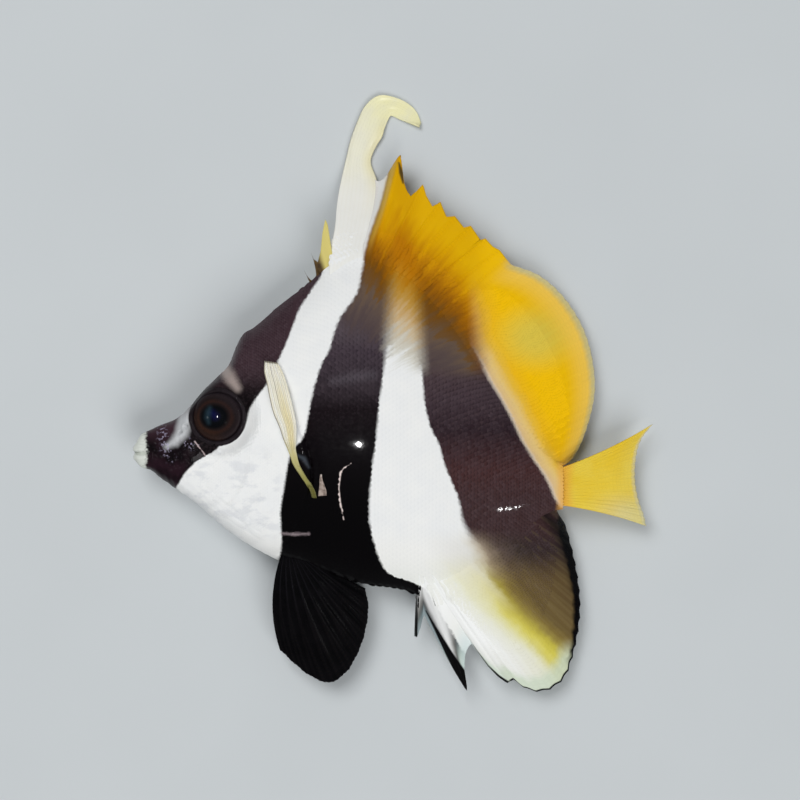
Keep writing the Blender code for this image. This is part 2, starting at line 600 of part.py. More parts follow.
def make_pelvic_fins():
    for side, sign, turn, droop in PELVIC_SIDES:
        def place(u, v, sign=sign, turn=turn, droop=droop):
            root = edge_point(BELLY, PELVIC_ROOTS[0] + (PELVIC_ROOTS[1] - PELVIC_ROOTS[0]) * u, GAP)
            tip = along(PELVIC_MARGIN, u)
            ray = tip - root
            bulge = np.array([ray[1], -ray[0]]) * PELVIC_BULGE * (1 - u) ** 2 * v * (1 - v)
            point = root + ray * v + bulge
            pivot = edge_point(BELLY, PELVIC_ROOTS[0], GAP)
            away = point - pivot
            swing = np.array([away[0] * math.cos(turn) - away[1] * math.sin(turn),
                              away[0] * math.sin(turn) + away[1] * math.cos(turn)])
            z = MID_HEIGHT + sign * PELVIC_APART - droop * ease(v, 0.0, 1.15)
            return (*(pivot + swing), z)
        sheet(f"pelvic_fin_{side}", 4 * PELVIC_RAYS - 4, 6, place,
              lambda u, v: fin_thickness(u, v, 2 * PELVIC_RAYS - 1, PELVIC_ROOT_THICK), BLACK_FIN)


# Pectoral fins, folded narrow. The left one lies forward over the gill cover, the right one is pressed
# flat under the flank, in a shallow pocket that the flesh makes for it.
PECTORAL_LINE = [(-4.7, -6.2), (-6.8, -2.8), (-8.7, 0.8), (-9.7, 4.7), (-10.6, 8.5), (-11.5, 11.6), (-12.2, 13.6)]
PECTORAL_WIDTH = [(0.0, 1.3), (0.2, 1.3), (0.38, 1.6), (0.55, 2.7), (0.75, 3.4), (0.9, 2.8), (1.0, 2.0)]
PECTORAL_FOLDS = 7
PECTORAL_FOLD_RISE = 0.22                    # how much thicker a fold is than the web
PECTORAL_ROOT_RISE = 0.3                     # how much thicker the fin is at its root
PECTORAL_CLEAR = 0.45                        # free height between flank and left fin
PECTORAL_LIFT = 0.5                          # how much more of it there is at the fin's tip
RIGHT_LINE = [(-4.6, -6.2), (-1.0, -6.6), (3.0, -6.5), (8.0, -6.9), (12.5, -7.8), (15.6, -8.8)]
POCKET_WIDER, POCKET_HEIGHT = 0.1, 1.05


def make_pectoral_fins(trunk):
    def thick(u, v):
        fold = PECTORAL_FOLD_RISE * ray_ridge(u, PECTORAL_FOLDS) * (1 - 0.5 * v)
        return MEMBRANE + fold + PECTORAL_ROOT_RISE * (1 - v) ** 4

    def above_flank(u, v):
        x, y = along(PECTORAL_LINE, v)
        over = half_thickness(x, y, COVER_PROUD)
        return MID_HEIGHT + over + PECTORAL_CLEAR + PECTORAL_LIFT * v + thick(0.0, v) / 2

    sheet("pectoral_fin_left", 2 * PECTORAL_FOLDS - 2, 10, ribbon(PECTORAL_LINE, PECTORAL_WIDTH, above_flank),
          thick, CLEAR_FIN)

    flat = ribbon(RIGHT_LINE, PECTORAL_WIDTH, lambda u, v: thick(u, v) / 2)
    sheet("pectoral_fin_right", 2 * PECTORAL_FOLDS - 2, 8, flat, thick, CLEAR_FIN)
    rim = [flat(0.0, v)[:2] for v in np.linspace(0, 1, 14)] + [flat(1.0, v)[:2] for v in np.linspace(1, 0, 14)]
    pocket = prism("pectoral_pocket", grown(rim, GAP + POCKET_WIDER), -1.0, POCKET_HEIGHT + GAP)
    shape_with(trunk, "DIFFERENCE", pocket)


body = make_body()
make_eyes(body["head"])
make_nostrils(body["head"])
make_gill_covers(body["head"])
make_front_spines()
make_spiny_dorsal()
make_soft_dorsal()
make_banner()
make_anal_fin()
make_tail_fin()
make_pelvic_fins()
make_pectoral_fins(body["trunk"])
for tool in list(TOOLS.objects):
    bpy.data.objects.remove(tool)
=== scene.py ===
import math

import bpy
import numpy as np
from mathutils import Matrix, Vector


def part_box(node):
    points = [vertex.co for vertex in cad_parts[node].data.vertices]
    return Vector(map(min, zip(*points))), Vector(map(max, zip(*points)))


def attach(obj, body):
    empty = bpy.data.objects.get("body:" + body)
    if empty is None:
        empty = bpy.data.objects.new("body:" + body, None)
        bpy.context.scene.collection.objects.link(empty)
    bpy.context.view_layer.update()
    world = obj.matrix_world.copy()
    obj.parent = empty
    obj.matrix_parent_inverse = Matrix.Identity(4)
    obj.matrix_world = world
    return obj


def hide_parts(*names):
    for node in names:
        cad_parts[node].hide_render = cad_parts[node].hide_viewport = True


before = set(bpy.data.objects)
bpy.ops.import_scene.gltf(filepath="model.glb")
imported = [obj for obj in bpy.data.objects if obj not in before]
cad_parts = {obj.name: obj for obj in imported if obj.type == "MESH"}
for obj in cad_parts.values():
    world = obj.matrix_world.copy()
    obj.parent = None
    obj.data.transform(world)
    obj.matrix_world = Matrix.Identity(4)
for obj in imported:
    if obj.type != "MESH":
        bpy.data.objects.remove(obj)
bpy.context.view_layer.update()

# Camera: the fish lies on its right flank and is seen from straight above. The photograph is PHOTO_PIXELS
# square, with MM_PER_PIXEL in the plane through the middle of the fish.
MM = 0.001
PHOTO_PIXELS = 800
MM_PER_PIXEL = 0.1553
PIXEL_OF_ORIGIN = (350.0, 454.0)
CAMERA_HEIGHT = 420.0
SENSOR = 36.0

eye_low, eye_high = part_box("eye_left")
under_low, under_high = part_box("eye_right")
MID_HEIGHT = (eye_low.z + eye_high.z + under_low.z + under_high.z) / 4 / MM

view_centre = ((PHOTO_PIXELS / 2 - PIXEL_OF_ORIGIN[0]) * MM_PER_PIXEL,
               (PIXEL_OF_ORIGIN[1] - PHOTO_PIXELS / 2) * MM_PER_PIXEL)


def placed(name, data):
    """A new object in the scene with this mesh, camera or light."""
    made = bpy.data.objects.new(name, data)
    bpy.context.scene.collection.objects.link(made)
    return made


camera = placed("camera", bpy.data.cameras.new("camera"))
camera.location = (view_centre[0] * MM, view_centre[1] * MM, (MID_HEIGHT + CAMERA_HEIGHT) * MM)
camera.data.sensor_width = SENSOR
camera.data.lens = SENSOR * CAMERA_HEIGHT / (PHOTO_PIXELS * MM_PER_PIXEL)
camera.data.clip_start = 0.01
bpy.context.scene.camera = camera
bpy.context.scene.view_settings.view_transform = "Standard"


# Body skin: one wet skin from the lips to the end of the tail stalk, over the flesh of head and trunk.
# Its form is a row of cross sections, with lips, nostrils, pores, gill covers and the lateral line
# raised or sunk in it.
SNOUT_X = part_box("upper_jaw")[0].x / MM
TAIL_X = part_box("tail_stalk")[1].x / MM
SNOUT_ROUND, TAIL_ROUND = 1.5, 0.4
CREST = 0.6
BACK = [(-33.7, 2.0), (-32.6, 3.0), (-31.2, 3.7), (-29.5, 4.5), (-26.7, 5.7), (-24.8, 7.4), (-22.8, 9.8),
        (-20.5, 12.1), (-18.6, 14.3), (-17.6, 16.8), (-16.8, 18.3), (-15.0, 19.6), (-10.9, 23.1),
        (-6.5, 26.5), (-4.0, 28.7), (-1.4, 30.6), (1.6, 31.5), (4.7, 31.1), (7.8, 29.8), (10.9, 27.6),
        (14.0, 24.4), (17.1, 20.5), (20.2, 15.6), (24.8, 7.8), (27.4, 3.8), (30.2, 0.3), (31.8, -1.0),
        (33.2, -1.5)]
BELLY = [(-33.7, -1.3), (-32.6, -2.0), (-31.2, -2.4), (-29.5, -3.6), (-26.8, -5.6), (-23.3, -8.1),
         (-20.2, -10.9), (-17.1, -13.2), (-14.0, -15.0), (-11.3, -16.4), (-7.8, -17.4), (-3.1, -18.7),
         (1.6, -20.0), (7.8, -20.9), (10.9, -21.8), (13.2, -21.6), (17.1, -19.8), (20.9, -17.4),
         (24.8, -14.4), (27.9, -11.6), (29.9, -9.7), (31.8, -8.8), (33.2, -8.6)]
WIDEST = [(-33.7, 0.2), (-26.0, 0.2), (-20.0, 0.5), (-10.0, 0.0), (0.0, 0.0), (10.0, -0.8), (20.0, -2.6),
          (28.0, -4.4), (33.2, -5.1)]
HALF_WIDTH = [(-33.7, 1.6), (-31.4, 2.0), (-29.5, 2.3), (-26.7, 3.0), (-24.0, 3.8), (-20.5, 4.8),
              (-16.0, 5.6), (-11.0, 6.15), (-6.0, 6.5), (0.0, 6.6), (5.0, 6.4), (10.0, 5.8), (15.0, 4.9),
              (20.0, 3.8), (25.0, 2.7), (29.0, 2.0), (33.2, 1.5)]
FULLNESS = [(-33.7, 2.2), (-28.0, 2.6), (-24.0, 3.4), (-20.0, 3.2), (-15.0, 2.4), (-8.0, 1.9), (10.0, 1.8),
            (26.0, 2.0), (33.2, 2.2)]
GILL_EDGE = [(-9.9, 12.6), (-9.7, 9.2), (-8.6, 5.6), (-6.9, 1.6), (-6.0, -2.4), (-6.5, -6.4), (-8.0, -10.4),
             (-10.0, -13.6), (-11.5, -16.0)]
CHEEK_EDGE = [(-13.0, 12.4), (-14.3, 8.4), (-15.2, 2.2), (-16.3, -4.0), (-19.4, -9.0)]
LATERAL_LINE = [(-8.0, 9.6), (-3.1, 14.6), (0.0, 16.2), (4.0, 16.6), (7.8, 15.8), (14.0, 13.0), (20.2, 7.8),
                (26.4, 1.4), (31.1, -2.4)]
NOSTRILS = [(-25.2, 4.3, 0.30), (-26.1, 3.4, 0.24)]
SWELLING = (22.5, -8.5, 3.0, 0.05)
MOUTH_Y, MOUTH_CORNER = 0.15, -31.0
ORBIT_OUT, ORBIT_REACH = 3.95, 6.6
SKIN_STATIONS, SKIN_RING = 420, 300
FLOOR_CLEAR, FIN_ROOM, LIFT_SOFTNESS = 0.16, 1.2, 0.25
PORES, PORE_SPAN, PORE_SCATTER = 46, (-30.4, -17.0), 0.9
THROAT_FOLDS = (-2.0, -3.1, -4.3)
EYE_HOLLOW = 2.0

EYE_X = (eye_low.x + eye_high.x) / 2 / MM
EYE_Y = (eye_low.y + eye_high.y) / 2 / MM
EYE_RADIUS = (eye_high.x - eye_low.x) / 2 / MM


def smooth(points, where):
    """Reads a smooth curve y(x) through the points at the given x values."""
    x, y = np.array(points, float).T
    slope = np.gradient(y, x)
    where = np.asarray(where, float)
    i = np.clip(np.searchsorted(x, where) - 1, 0, len(x) - 2)
    step = x[i + 1] - x[i]
    s = np.clip((where - x[i]) / step, 0.0, 1.0)
    start = (1 + 2 * s) * (1 - s) ** 2 * y[i] + s * (1 - s) ** 2 * step * slope[i]
    end = s * s * (3 - 2 * s) * y[i + 1] - s * s * (1 - s) * step * slope[i + 1]
    return start + end


def along(points, share):
    """The places at these shares of the length of a smooth curve through the points."""
    flat = np.array(points, float)
    run = np.concatenate([[0.0], np.cumsum(np.linalg.norm(np.diff(flat, axis=0), axis=1))])
    run = run / run[-1]
    return np.stack([smooth(np.column_stack([run, flat[:, k]]), share) for k in range(flat.shape[1])], -1)


def ease(value, low, high):
    """0 at low, 1 at high, smooth between."""
    s = np.clip((value - low) / (high - low), 0.0, 1.0)
    return s * s * (3 - 2 * s)


def bump(value, centre, width):
    """1 at the centre value, fading out to 0 over about twice the width."""
    return np.exp(-((value - centre) / width) ** 2)


def x_on(edge, y):
    """The x of an edge line that is listed from top to bottom, at level y."""
    edge = np.array(edge)[::-1]
    return smooth(edge[:, ::-1], y)


def flesh(x, turn):
    """The plain body surface at station x and turn round the section: 0 is the back, pi/2 the left flank."""
    inside = np.clip(x, SNOUT_X, TAIL_X)
    level, back, belly = smooth(WIDEST, inside), smooth(BACK, inside), smooth(BELLY, inside)
    t = np.cos(turn)
    y = level + t * np.where(t > 0, back - level, level - belly)
    power = smooth(FULLNESS, inside)
    width = smooth(HALF_WIDTH, inside)
    reach = np.abs(t)
    body = CREST + (width - CREST) * np.clip(1 - reach ** power, 0, 1) ** (1.35 / power)
    orbit = 1 - ease(np.hypot(inside - EYE_X, y - EYE_Y), EYE_RADIUS + 0.3, ORBIT_REACH)
    body = body + (ORBIT_OUT - body) * orbit
    out = body * np.sqrt(np.clip(1 - reach ** 12, 0, 1))
    ends = np.minimum((inside - SNOUT_X) / SNOUT_ROUND, (TAIL_X - inside) / TAIL_ROUND)
    close = np.sqrt(np.clip(1 - np.clip(1 - ends, 0, 1) ** 2, 0, 1))
    y = level + (y - level) * close
    return np.stack([inside, y, MID_HEIGHT + np.sign(np.sin(turn)) * out * close], -1)


pore_random = np.random.default_rng(3)
pore_x = pore_random.uniform(*PORE_SPAN, PORES)
behind_eye = pore_x - EYE_X
pore_y = EYE_Y - 5.0 + pore_random.normal(0, PORE_SCATTER, PORES) - 0.10 * behind_eye
pore_y = pore_y + 0.11 * behind_eye ** 2 * (behind_eye > 0)


def waves(x, y, length, seed):
    """A soft random ripple of about this wave length, mostly from -1 to 1."""
    chance = np.random.default_rng(seed)
    total = 0.0
    for way, size, start in chance.uniform((0, 0.7, 0), (2 * np.pi, 1.5, 2 * np.pi), (7, 3)):
        total = total + np.sin((x * np.cos(way) + y * np.sin(way)) * 2 * np.pi / (size * length) + start)
    return total / 4


def relief(x, y):
    """Height of the skin's raised and sunk lines above the plain body, in millimetres."""
    gill = x - x_on(GILL_EDGE, y)
    cover = ease(y, -16.5, -13.0) * (1 - ease(y, 9.0, 12.5)) * (0.35 + 0.65 * ease(y, -8.0, -3.0))
    raised = 0.34 * ease(gill, -5.0, -0.3) * (1 - ease(gill, -0.12, 0.12))
    sunk = 0.28 * bump(gill, 0.28, 0.3) + 0.12 * bump(gill, 1.0, 0.8)
    height = cover * (raised - sunk)
    cheek = x - x_on(CHEEK_EDGE, y)
    ridge = ease(y, -9.5, -6.0) * (1 - ease(y, 7.0, 11.0))
    height += ridge * (0.05 * bump(cheek, -0.7, 0.7) - 0.07 * bump(cheek, 0.2, 0.45))
    line = smooth(LATERAL_LINE, x)
    height += 0.04 * bump(y, line, 0.25) * ease(x, -8.5, -6.0) * (1 - ease(x, 29.0, 32.0))
    for nx, ny, size in NOSTRILS:
        d = np.hypot(x - nx, y - ny)
        height += 0.16 * bump(d, size * 1.7, size * 0.6) - 0.55 * bump(d, 0.0, size)
    for px, py in zip(pore_x, pore_y):
        d = np.hypot(x - px, y - py)
        height += 0.035 * bump(d, 0.34, 0.14) - 0.05 * bump(d, 0.0, 0.2)
    throat = smooth(BELLY, x) - y
    for depth in THROAT_FOLDS:
        fold = bump(throat, depth, 0.16) * ease(x, -25.0, -21.0) * (1 - ease(x, -15.0, -12.0))
        height -= 0.06 * fold
    snout = ease(x, -31.6, -31.0) * (1 - ease(x, -25.4, -23.6)) * (1 - ease(y, 2.5, 5.0))
    height += snout * (0.05 * waves(x, y, 1.0, 11) + 0.05 * waves(x, y, 2.2, 16))
    cheek_skin = ease(x, -25.0, -21.0) * (1 - ease(x, -11.0, -8.0)) * (1 - ease(y, 0.0, 3.5))
    height += cheek_skin * (0.045 * waves(x, y, 2.6, 13) + 0.012 * waves(x, y, 0.9, 14))
    height += 0.035 * waves(x, y, 10.0, 15) * (1 - ease(x, 8.0, 14.0))
    swell_x, swell_y, swell_width, swell_rise = SWELLING
    height += swell_rise * bump(np.hypot(x - swell_x, y - swell_y), 0.0, swell_width)
    front = 1 - ease(x, MOUTH_CORNER - 1.4, MOUTH_CORNER)
    off = np.abs(y - MOUTH_Y)
    height += front * (0.16 * bump(off, 0.75, 0.5) + 0.045 * waves(0.3 * x, y, 0.5, 12))
    gape = 1 - ease(x, MOUTH_CORNER - 0.8, MOUTH_CORNER + 0.3)
    height -= gape * 0.55 * bump(off, 0.0, 0.12 + 0.10 * front)
    height -= 0.16 * bump(x, MOUTH_CORNER + 0.1, 0.25) * bump(off, 0.0, 2.0)
    hollow = 1 - ease(np.hypot(x - EYE_X, y - EYE_Y), EYE_RADIUS - 0.1, EYE_RADIUS + 0.2)
    height -= EYE_HOLLOW * hollow
    return height


def under_side(points):
    """Keeps the skin of the right flank off the floor, and higher over the folded right fin."""
    low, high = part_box("pectoral_fin_right")
    over_fin = 1.0
    for axis in (0, 1):
        start, stop = low[axis] / MM, high[axis] / MM
        over_fin = over_fin * ease(points[..., axis], start - 1.2, start + 0.4)
        over_fin = over_fin * (1 - ease(points[..., axis], stop - 0.4, stop + 1.2))
    least = FLOOR_CLEAR + FIN_ROOM * over_fin
    z = points[..., 2]
    lifted = least + LIFT_SOFTNESS * np.log1p(np.exp(np.clip((z - least) / LIFT_SOFTNESS, -30, 30)))
    points[..., 2] = np.where(z < MID_HEIGHT, np.minimum(lifted, MID_HEIGHT), z)
    return points


def mesh_object(name, verts, faces):
    """A smooth mesh object from corners in millimetres."""
    mesh = bpy.data.meshes.new(name)
    mesh.from_pydata([tuple(v) for v in np.asarray(verts) * MM], [], faces)
    mesh.shade_smooth()
    return placed(name, mesh)


def grid_faces(rows, columns, closed):
    """Quads of a grid of rows by columns points; closed joins the last column to the first."""
    faces = []
    for r in range(rows - 1):
        for c in range(columns if closed else columns - 1):
            d = (c + 1) % columns
            faces.append((r * columns + c, r * columns + d, (r + 1) * columns + d, (r + 1) * columns + c))
    return faces


def closed_tube(name, rings, ends):
    """A tube through rings of points, closed by a fan of faces to one point at each end."""
    rows, columns = rings.shape[:2]
    count = rows * columns
    faces = [face[::-1] for face in grid_faces(rows, columns, True)]
    for k in range(columns):
        after = (k + 1) % columns
        faces.append((count, k, after))
        faces.append((count + 1, count - columns + after, count - columns + k))
    return mesh_object(name, np.vstack([rings.reshape(-1, 3), ends]), faces)


def grid_normals(points):
    """The unit normals of a grid of points."""
    normal = np.cross(np.gradient(points, axis=0), np.gradient(points, axis=1))
    return normal / np.maximum(np.linalg.norm(normal, axis=-1, keepdims=True), 1e-9)


def skin_points(x, turn):
    """The finished skin surface over a grid of stations and turns."""
    plain = flesh(x, turn)
    normal = grid_normals(plain)
    outward = np.sign((normal[..., 2] * np.sin(turn)).mean() + 1e-9)
    points = plain + outward * normal * relief(plain[..., 0], plain[..., 1])[..., None]
    return under_side(points)


share = np.linspace(0.004, 0.997, SKIN_STATIONS)
stations = SNOUT_X + (TAIL_X - SNOUT_X) * (0.35 * share + 0.65 * (1 - np.cos(np.pi * share)) / 2)
turns = np.linspace(0, 2 * np.pi, SKIN_RING, endpoint=False)
grid_x, grid_turn = np.meshgrid(stations, turns, indexing="ij")
skin_grid = skin_points(grid_x, grid_turn)
ends = [skin_grid[0].mean(axis=0) + (0.12, 0, 0), skin_grid[-1].mean(axis=0) + (0.02, 0, 0)]
skin = closed_tube("skin", skin_grid, ends)


def paint(red, green, blue):
    """A colour as seen on a screen, 0 to 255, as the shader's light value."""
    return tuple((c / 255 / 12.92 if c <= 10 else ((c / 255 + 0.055) / 1.055) ** 2.4)
                 for c in (red, green, blue)) + (1.0,)


class Wiring:
    """Short forms for placing and joining the nodes of one shader tree. Colours are given as they are
    seen on a screen: red, green and blue from 0 to 255."""

    def __init__(self, tree):
        self.tree = tree

    def put(self, kind, inputs=None, **settings):
        node = self.tree.nodes.new(kind)
        for key, value in settings.items():
            setattr(node, key, value)
        for key, value in (inputs or {}).items():
            self.feed(node.inputs[key], value)
        return node

    def feed(self, socket, value):
        if isinstance(value, bpy.types.NodeSocket):
            self.tree.links.new(value, socket)
        elif socket.type == "RGBA":
            socket.default_value = paint(*value)
        else:
            socket.default_value = value

    def math(self, operation, *values):
        node = self.put("ShaderNodeMath", operation=operation)
        for socket, value in zip(node.inputs, values):
            self.feed(socket, value)
        return node.outputs[0]

    def add(self, first, second):
        return self.math("ADD", first, second)

    def less(self, first, second):
        return self.math("SUBTRACT", first, second)

    def times(self, *values):
        total = values[0]
        for value in values[1:]:
            total = self.math("MULTIPLY", total, value)
        return total

    def length(self, x, y):
        return self.math("SQRT", self.add(self.times(x, x), self.times(y, y)))

    def step(self, value, low, high, start=0.0, stop=1.0, way="SMOOTHSTEP"):
        """start below low, stop beyond high, and a smooth change between them."""
        span = {"Value": value, "From Min": low, "From Max": high, "To Min": start, "To Max": stop}
        return self.put("ShaderNodeMapRange", span, interpolation_type=way).outputs[0]

    def straight(self, value, low, high, start=0.0, stop=1.0):
        return self.step(value, low, high, start, stop, "LINEAR")

    def near(self, value, centre, reach, softness):
        """1 within reach of the centre value, 0 beyond reach and softness."""
        away = self.math("ABSOLUTE", self.less(value, centre))
        return self.step(away, reach + softness, reach)

    def stroke(self, x, y, points, soft):
        """1 on a stroke through the points (x, y, half width), 0 beside it."""
        nearest = None
        for (ax, ay, start), (bx, by, stop) in zip(points, points[1:]):
            length = (bx - ax) ** 2 + (by - ay) ** 2
            from_x, from_y = self.less(x, ax), self.less(y, ay)
            run = self.add(self.times(from_x, (bx - ax) / length), self.times(from_y, (by - ay) / length))
            run = self.math("MINIMUM", self.math("MAXIMUM", run, 0.0), 1.0)
            beside_x = self.less(from_x, self.times(run, bx - ax))
            beside_y = self.less(from_y, self.times(run, by - ay))
            away = self.length(beside_x, beside_y)
            away = self.less(away, self.straight(run, 0.0, 1.0, start, stop))
            nearest = away if nearest is None else self.math("MINIMUM", nearest, away)
        return self.step(nearest, soft, -soft)

    def mix(self, share, first, second, way="MIX"):
        node = self.put("ShaderNodeMix", data_type="RGBA", blend_type=way)
        for key, value in (("Factor_Float", share), ("A_Color", first), ("B_Color", second)):
            self.feed(next(s for s in node.inputs if s.identifier == key), value)
        return next(s for s in node.outputs if s.identifier == "Result_Color")

    def curve(self, value, points, low, high, base, top):
        """A drawn curve: value from low to high gives a number from base to top."""
        node = self.put("ShaderNodeFloatCurve")
        line = node.mapping.curves[0]
        points = sorted(points)
        while len(line.points) < len(points):
            line.points.new(0.5, 0.5)
        for point, (at, to) in zip(line.points, points):
            point.location = ((at - low) / (high - low), (to - base) / (top - base))
            point.handle_type = "AUTO"
        node.mapping.update()
        self.feed(node.inputs["Value"], self.straight(value, low, high))
        return self.straight(node.outputs[0], 0.0, 1.0, base, top)

    def ramp(self, value, low, high, stops):
        """The colour for a value between the listed ones (value, colour)."""
        node = self.put("ShaderNodeValToRGB")
        line = node.color_ramp
        while len(line.elements) < len(stops):
            line.elements.new(0.5)
        for element, (at, colour) in zip(line.elements, stops):
            element.position = (at - low) / (high - low)
            element.color = paint(*colour)
        self.feed(node.inputs[0], self.straight(value, low, high))
        return node.outputs["Color"]

    def brightness(self, colour):
        return self.put("ShaderNodeRGBToBW", {"Color": colour}).outputs[0]

    def noise(self, place, scale, detail=2.0, rough=0.5):
        inputs = {"Vector": place, "Scale": scale, "Detail": detail, "Roughness": rough}
        return self.put("ShaderNodeTexNoise", inputs).outputs["Fac"]

    def wobble(self, noise, amount):
        """A noise as a shift to both sides, by up to half the amount."""
        return self.times(self.less(noise, 0.5), amount)

    def raised(self, height, strength, distance, **more):
        """The normal of a surface with this height on it."""
        inputs = {"Height": height, "Strength": strength, "Distance": distance, **more}
        return self.put("ShaderNodeBump", inputs).outputs[0]

    def split(self, vector):
        return self.put("ShaderNodeSeparateXYZ", {"Vector": vector}).outputs[:]

    def flat_place(self, place):
        """The x and y of a place."""
        return self.split(place)[:2]

    def join(self, x, y):
        return self.put("ShaderNodeCombineXYZ", {"X": x, "Y": y}).outputs[0]

    def scaled(self, vector, factor):
        return self.put("ShaderNodeVectorMath", {0: vector, 1: factor}, operation="MULTIPLY").outputs[0]

    def moved(self, vector, by):
        return self.put("ShaderNodeVectorMath", {0: vector, 1: by}, operation="ADD").outputs[0]

    def own_place(self):
        return self.put("ShaderNodeTexCoord").outputs["Object"]

    def read(self, name, output):
        return self.put("ShaderNodeAttribute", attribute_name=name).outputs[output]

    def group(self, name, inputs):
        node = self.put("ShaderNodeGroup", node_tree=bpy.data.node_groups[name])
        for key, value in inputs.items():
            self.feed(node.inputs[key], value)
        return node.outputs


def shader_group(name, inputs, outputs):
    """An empty node group with named sockets; gives its wiring, its input node and its output node."""
    group = bpy.data.node_groups.new(name, "ShaderNodeTree")
    for socket, kind in inputs:
        group.interface.new_socket(socket, in_out="INPUT", socket_type=kind)
    for socket, kind in outputs:
        group.interface.new_socket(socket, in_out="OUTPUT", socket_type=kind)
    wires = Wiring(group)
    return wires, group.nodes.new("NodeGroupInput"), group.nodes.new("NodeGroupOutput")


VECTOR, FLOAT, COLOUR = "NodeSocketVector", "NodeSocketFloat", "NodeSocketColor"

# Edges of the dark bands, from the top down, as (x, y): hind edge of the mask over nape, eye and snout,
# front and hind edges of the middle band, front and hind edges of the hind band.
MASK_EDGE = [(-5.0, 40.0), (-4.6, 33.0), (-4.1, 28.9), (-5.9, 25.5), (-7.8, 22.4), (-8.9, 19.3),
             (-10.1, 16.3), (-11.0, 14.4), (-12.7, 10.7), (-14.3, 8.7), (-15.4, 6.8), (-16.0, 4.7),
             (-16.5, 3.7), (-17.6, 2.6), (-19.6, 1.6), (-21.1, 0.3), (-23.6, -1.1), (-24.2, -1.7),
             (-25.3, -2.8), (-25.8, -3.6), (-26.9, -5.2)]
MIDDLE_FRONT = [(6.6, 47.0), (5.6, 42.5), (4.7, 38.9), (3.8, 36.2), (2.9, 33.5), (2.3, 30.9), (1.8, 27.8),
                (1.4, 25.6), (0.3, 23.5), (-1.1, 21.6), (-2.2, 19.3), (-3.1, 16.2), (-4.3, 13.8),
                (-5.1, 11.5), (-5.7, 9.2), (-6.2, 6.8), (-6.5, 4.5), (-7.0, 2.7), (-8.7, 0.6), (-9.4, -1.7),
                (-9.9, -4.8), (-10.5, -7.9), (-10.6, -14.6), (-11.4, -17.5)]
MIDDLE_HIND = [(6.9, 47.0), (6.5, 36.0), (6.4, 29.4), (6.2, 22.4), (5.6, 16.2), (5.0, 11.5), (4.5, 7.6),
               (4.0, 2.2), (3.4, -2.5), (3.0, -7.9), (3.1, -10.8), (3.7, -13.4), (4.7, -16.5), (5.9, -18.4),
               (9.3, -19.7), (11.6, -20.9), (12.6, -22.2)]
HIND_FRONT = [(10.0, 46.0), (10.4, 30.0), (10.6, 23.9), (10.9, 17.7), (11.2, 11.5), (11.6, 7.6), (12.4, 4.2),
              (13.7, 1.6), (14.4, -1.1), (15.7, -4.3), (16.8, -7.1), (17.4, -10.2), (19.0, -13.4),
              (20.1, -15.2), (21.2, -17.0), (22.6, -18.9), (24.9, -21.9), (28.2, -25.6), (31.3, -28.9),
              (34.5, -32.5), (38.0, -38.0)]
HIND_HIND = [(10.0, 46.0), (14.0, 30.0), (17.1, 23.9), (18.5, 17.7), (20.2, 14.6), (21.7, 11.5), (23.6, 8.4),
             (25.2, 5.3), (26.7, 2.2), (28.6, -0.9), (30.6, -4.0), (32.0, -7.1), (34.4, -10.0), (38.0, -16.0),
             (43.0, -26.0)]
AMBER_LINE = [(-4.0, 27.5), (3.5, 25.5), (5.0, 24.0), (8.0, 23.0), (10.0, 21.5), (12.0, 20.0), (14.0, 18.8),
              (16.0, 17.2), (18.0, 14.5), (21.0, 10.0), (29.0, -2.0), (50.0, -30.0)]
SPINE_CENTRE = (-5.4, 6.7)
LEVELS = (-42.0, 48.0)
ACROSS = (-35.0, 50.0)
IN_MM = (1000.0, 1000.0, 1000.0)
PALE_SPOT, PALE_SPOT_SQUEEZE = (29.0, 18.2), 0.8

# Small marks, as strokes through (x, y, half width): the pale brow, the pale patch of the cheek, painted
# glints in flecks on the snout, and then with their softness, strength and colour a pale fold under the eye,
# a painted dull reflection behind the gill cover, a painted glint over the belly, a long scratch on the
# middle band and a painted sheen above it.
BROW = [(-19.6, 13.4, 0.9), (-18.5, 12.0, 0.9), (-17.2, 10.2, 0.5)]
CHEEK_PATCH = [(-24.9, 7.7, 1.0), (-25.4, 5.6, 1.15), (-25.8, 3.5, 1.0), (-26.9, 2.0, 0.65),
               (-28.2, 1.25, 0.3)]
# Painted glints: strokes where bluish-white flecks stand for sparkles of light off the wet snout.
SNOUT_GLINT_STROKES = ([(-29.2, 4.2, 0.4), (-28.6, 1.6, 0.7), (-27.6, -0.6, 0.5)],
                [(-25.8, 2.4, 0.5), (-23.6, 0.9, 0.4)])
MARKS_AND_PAINTED_SHINES = (
    ([(-23.8, 2.0, 0.10), (-22.1, -0.25, 0.06)], 0.08, 0.7, (214, 194, 194)),
    # painted reflection: a dull blue-grey crescent of light on the black skin behind the gill cover
    ([(-8.0, 0.0, 0.1), (-6.9, -0.6, 0.3), (-6.2, -1.9, 0.1)], 0.35, 0.5, (86, 94, 104)),
    # painted glint: a pale line of light over the belly
    ([(-10.6, -12.1, 0.1), (-8.4, -12.3, 0.2), (-6.3, -12.2, 0.1)], 0.25, 0.6, (176, 160, 164)),
    ([(0.3, -1.3, 0.05), (-0.8, -1.9, 0.1), (-1.4, -2.8, 0.1), (-1.65, -5.0, 0.12), (-1.45, -7.4, 0.1),
      (-0.9, -9.9, 0.04)], 0.07, 0.95, (232, 215, 210)),
    # painted sheen: a soft grey-violet streak of light over the middle band
    ([(-2.5, 11.2, 0.4), (0.5, 11.9, 0.7), (3.5, 12.3, 0.5)], 1.0, 0.3, (110, 104, 112)))

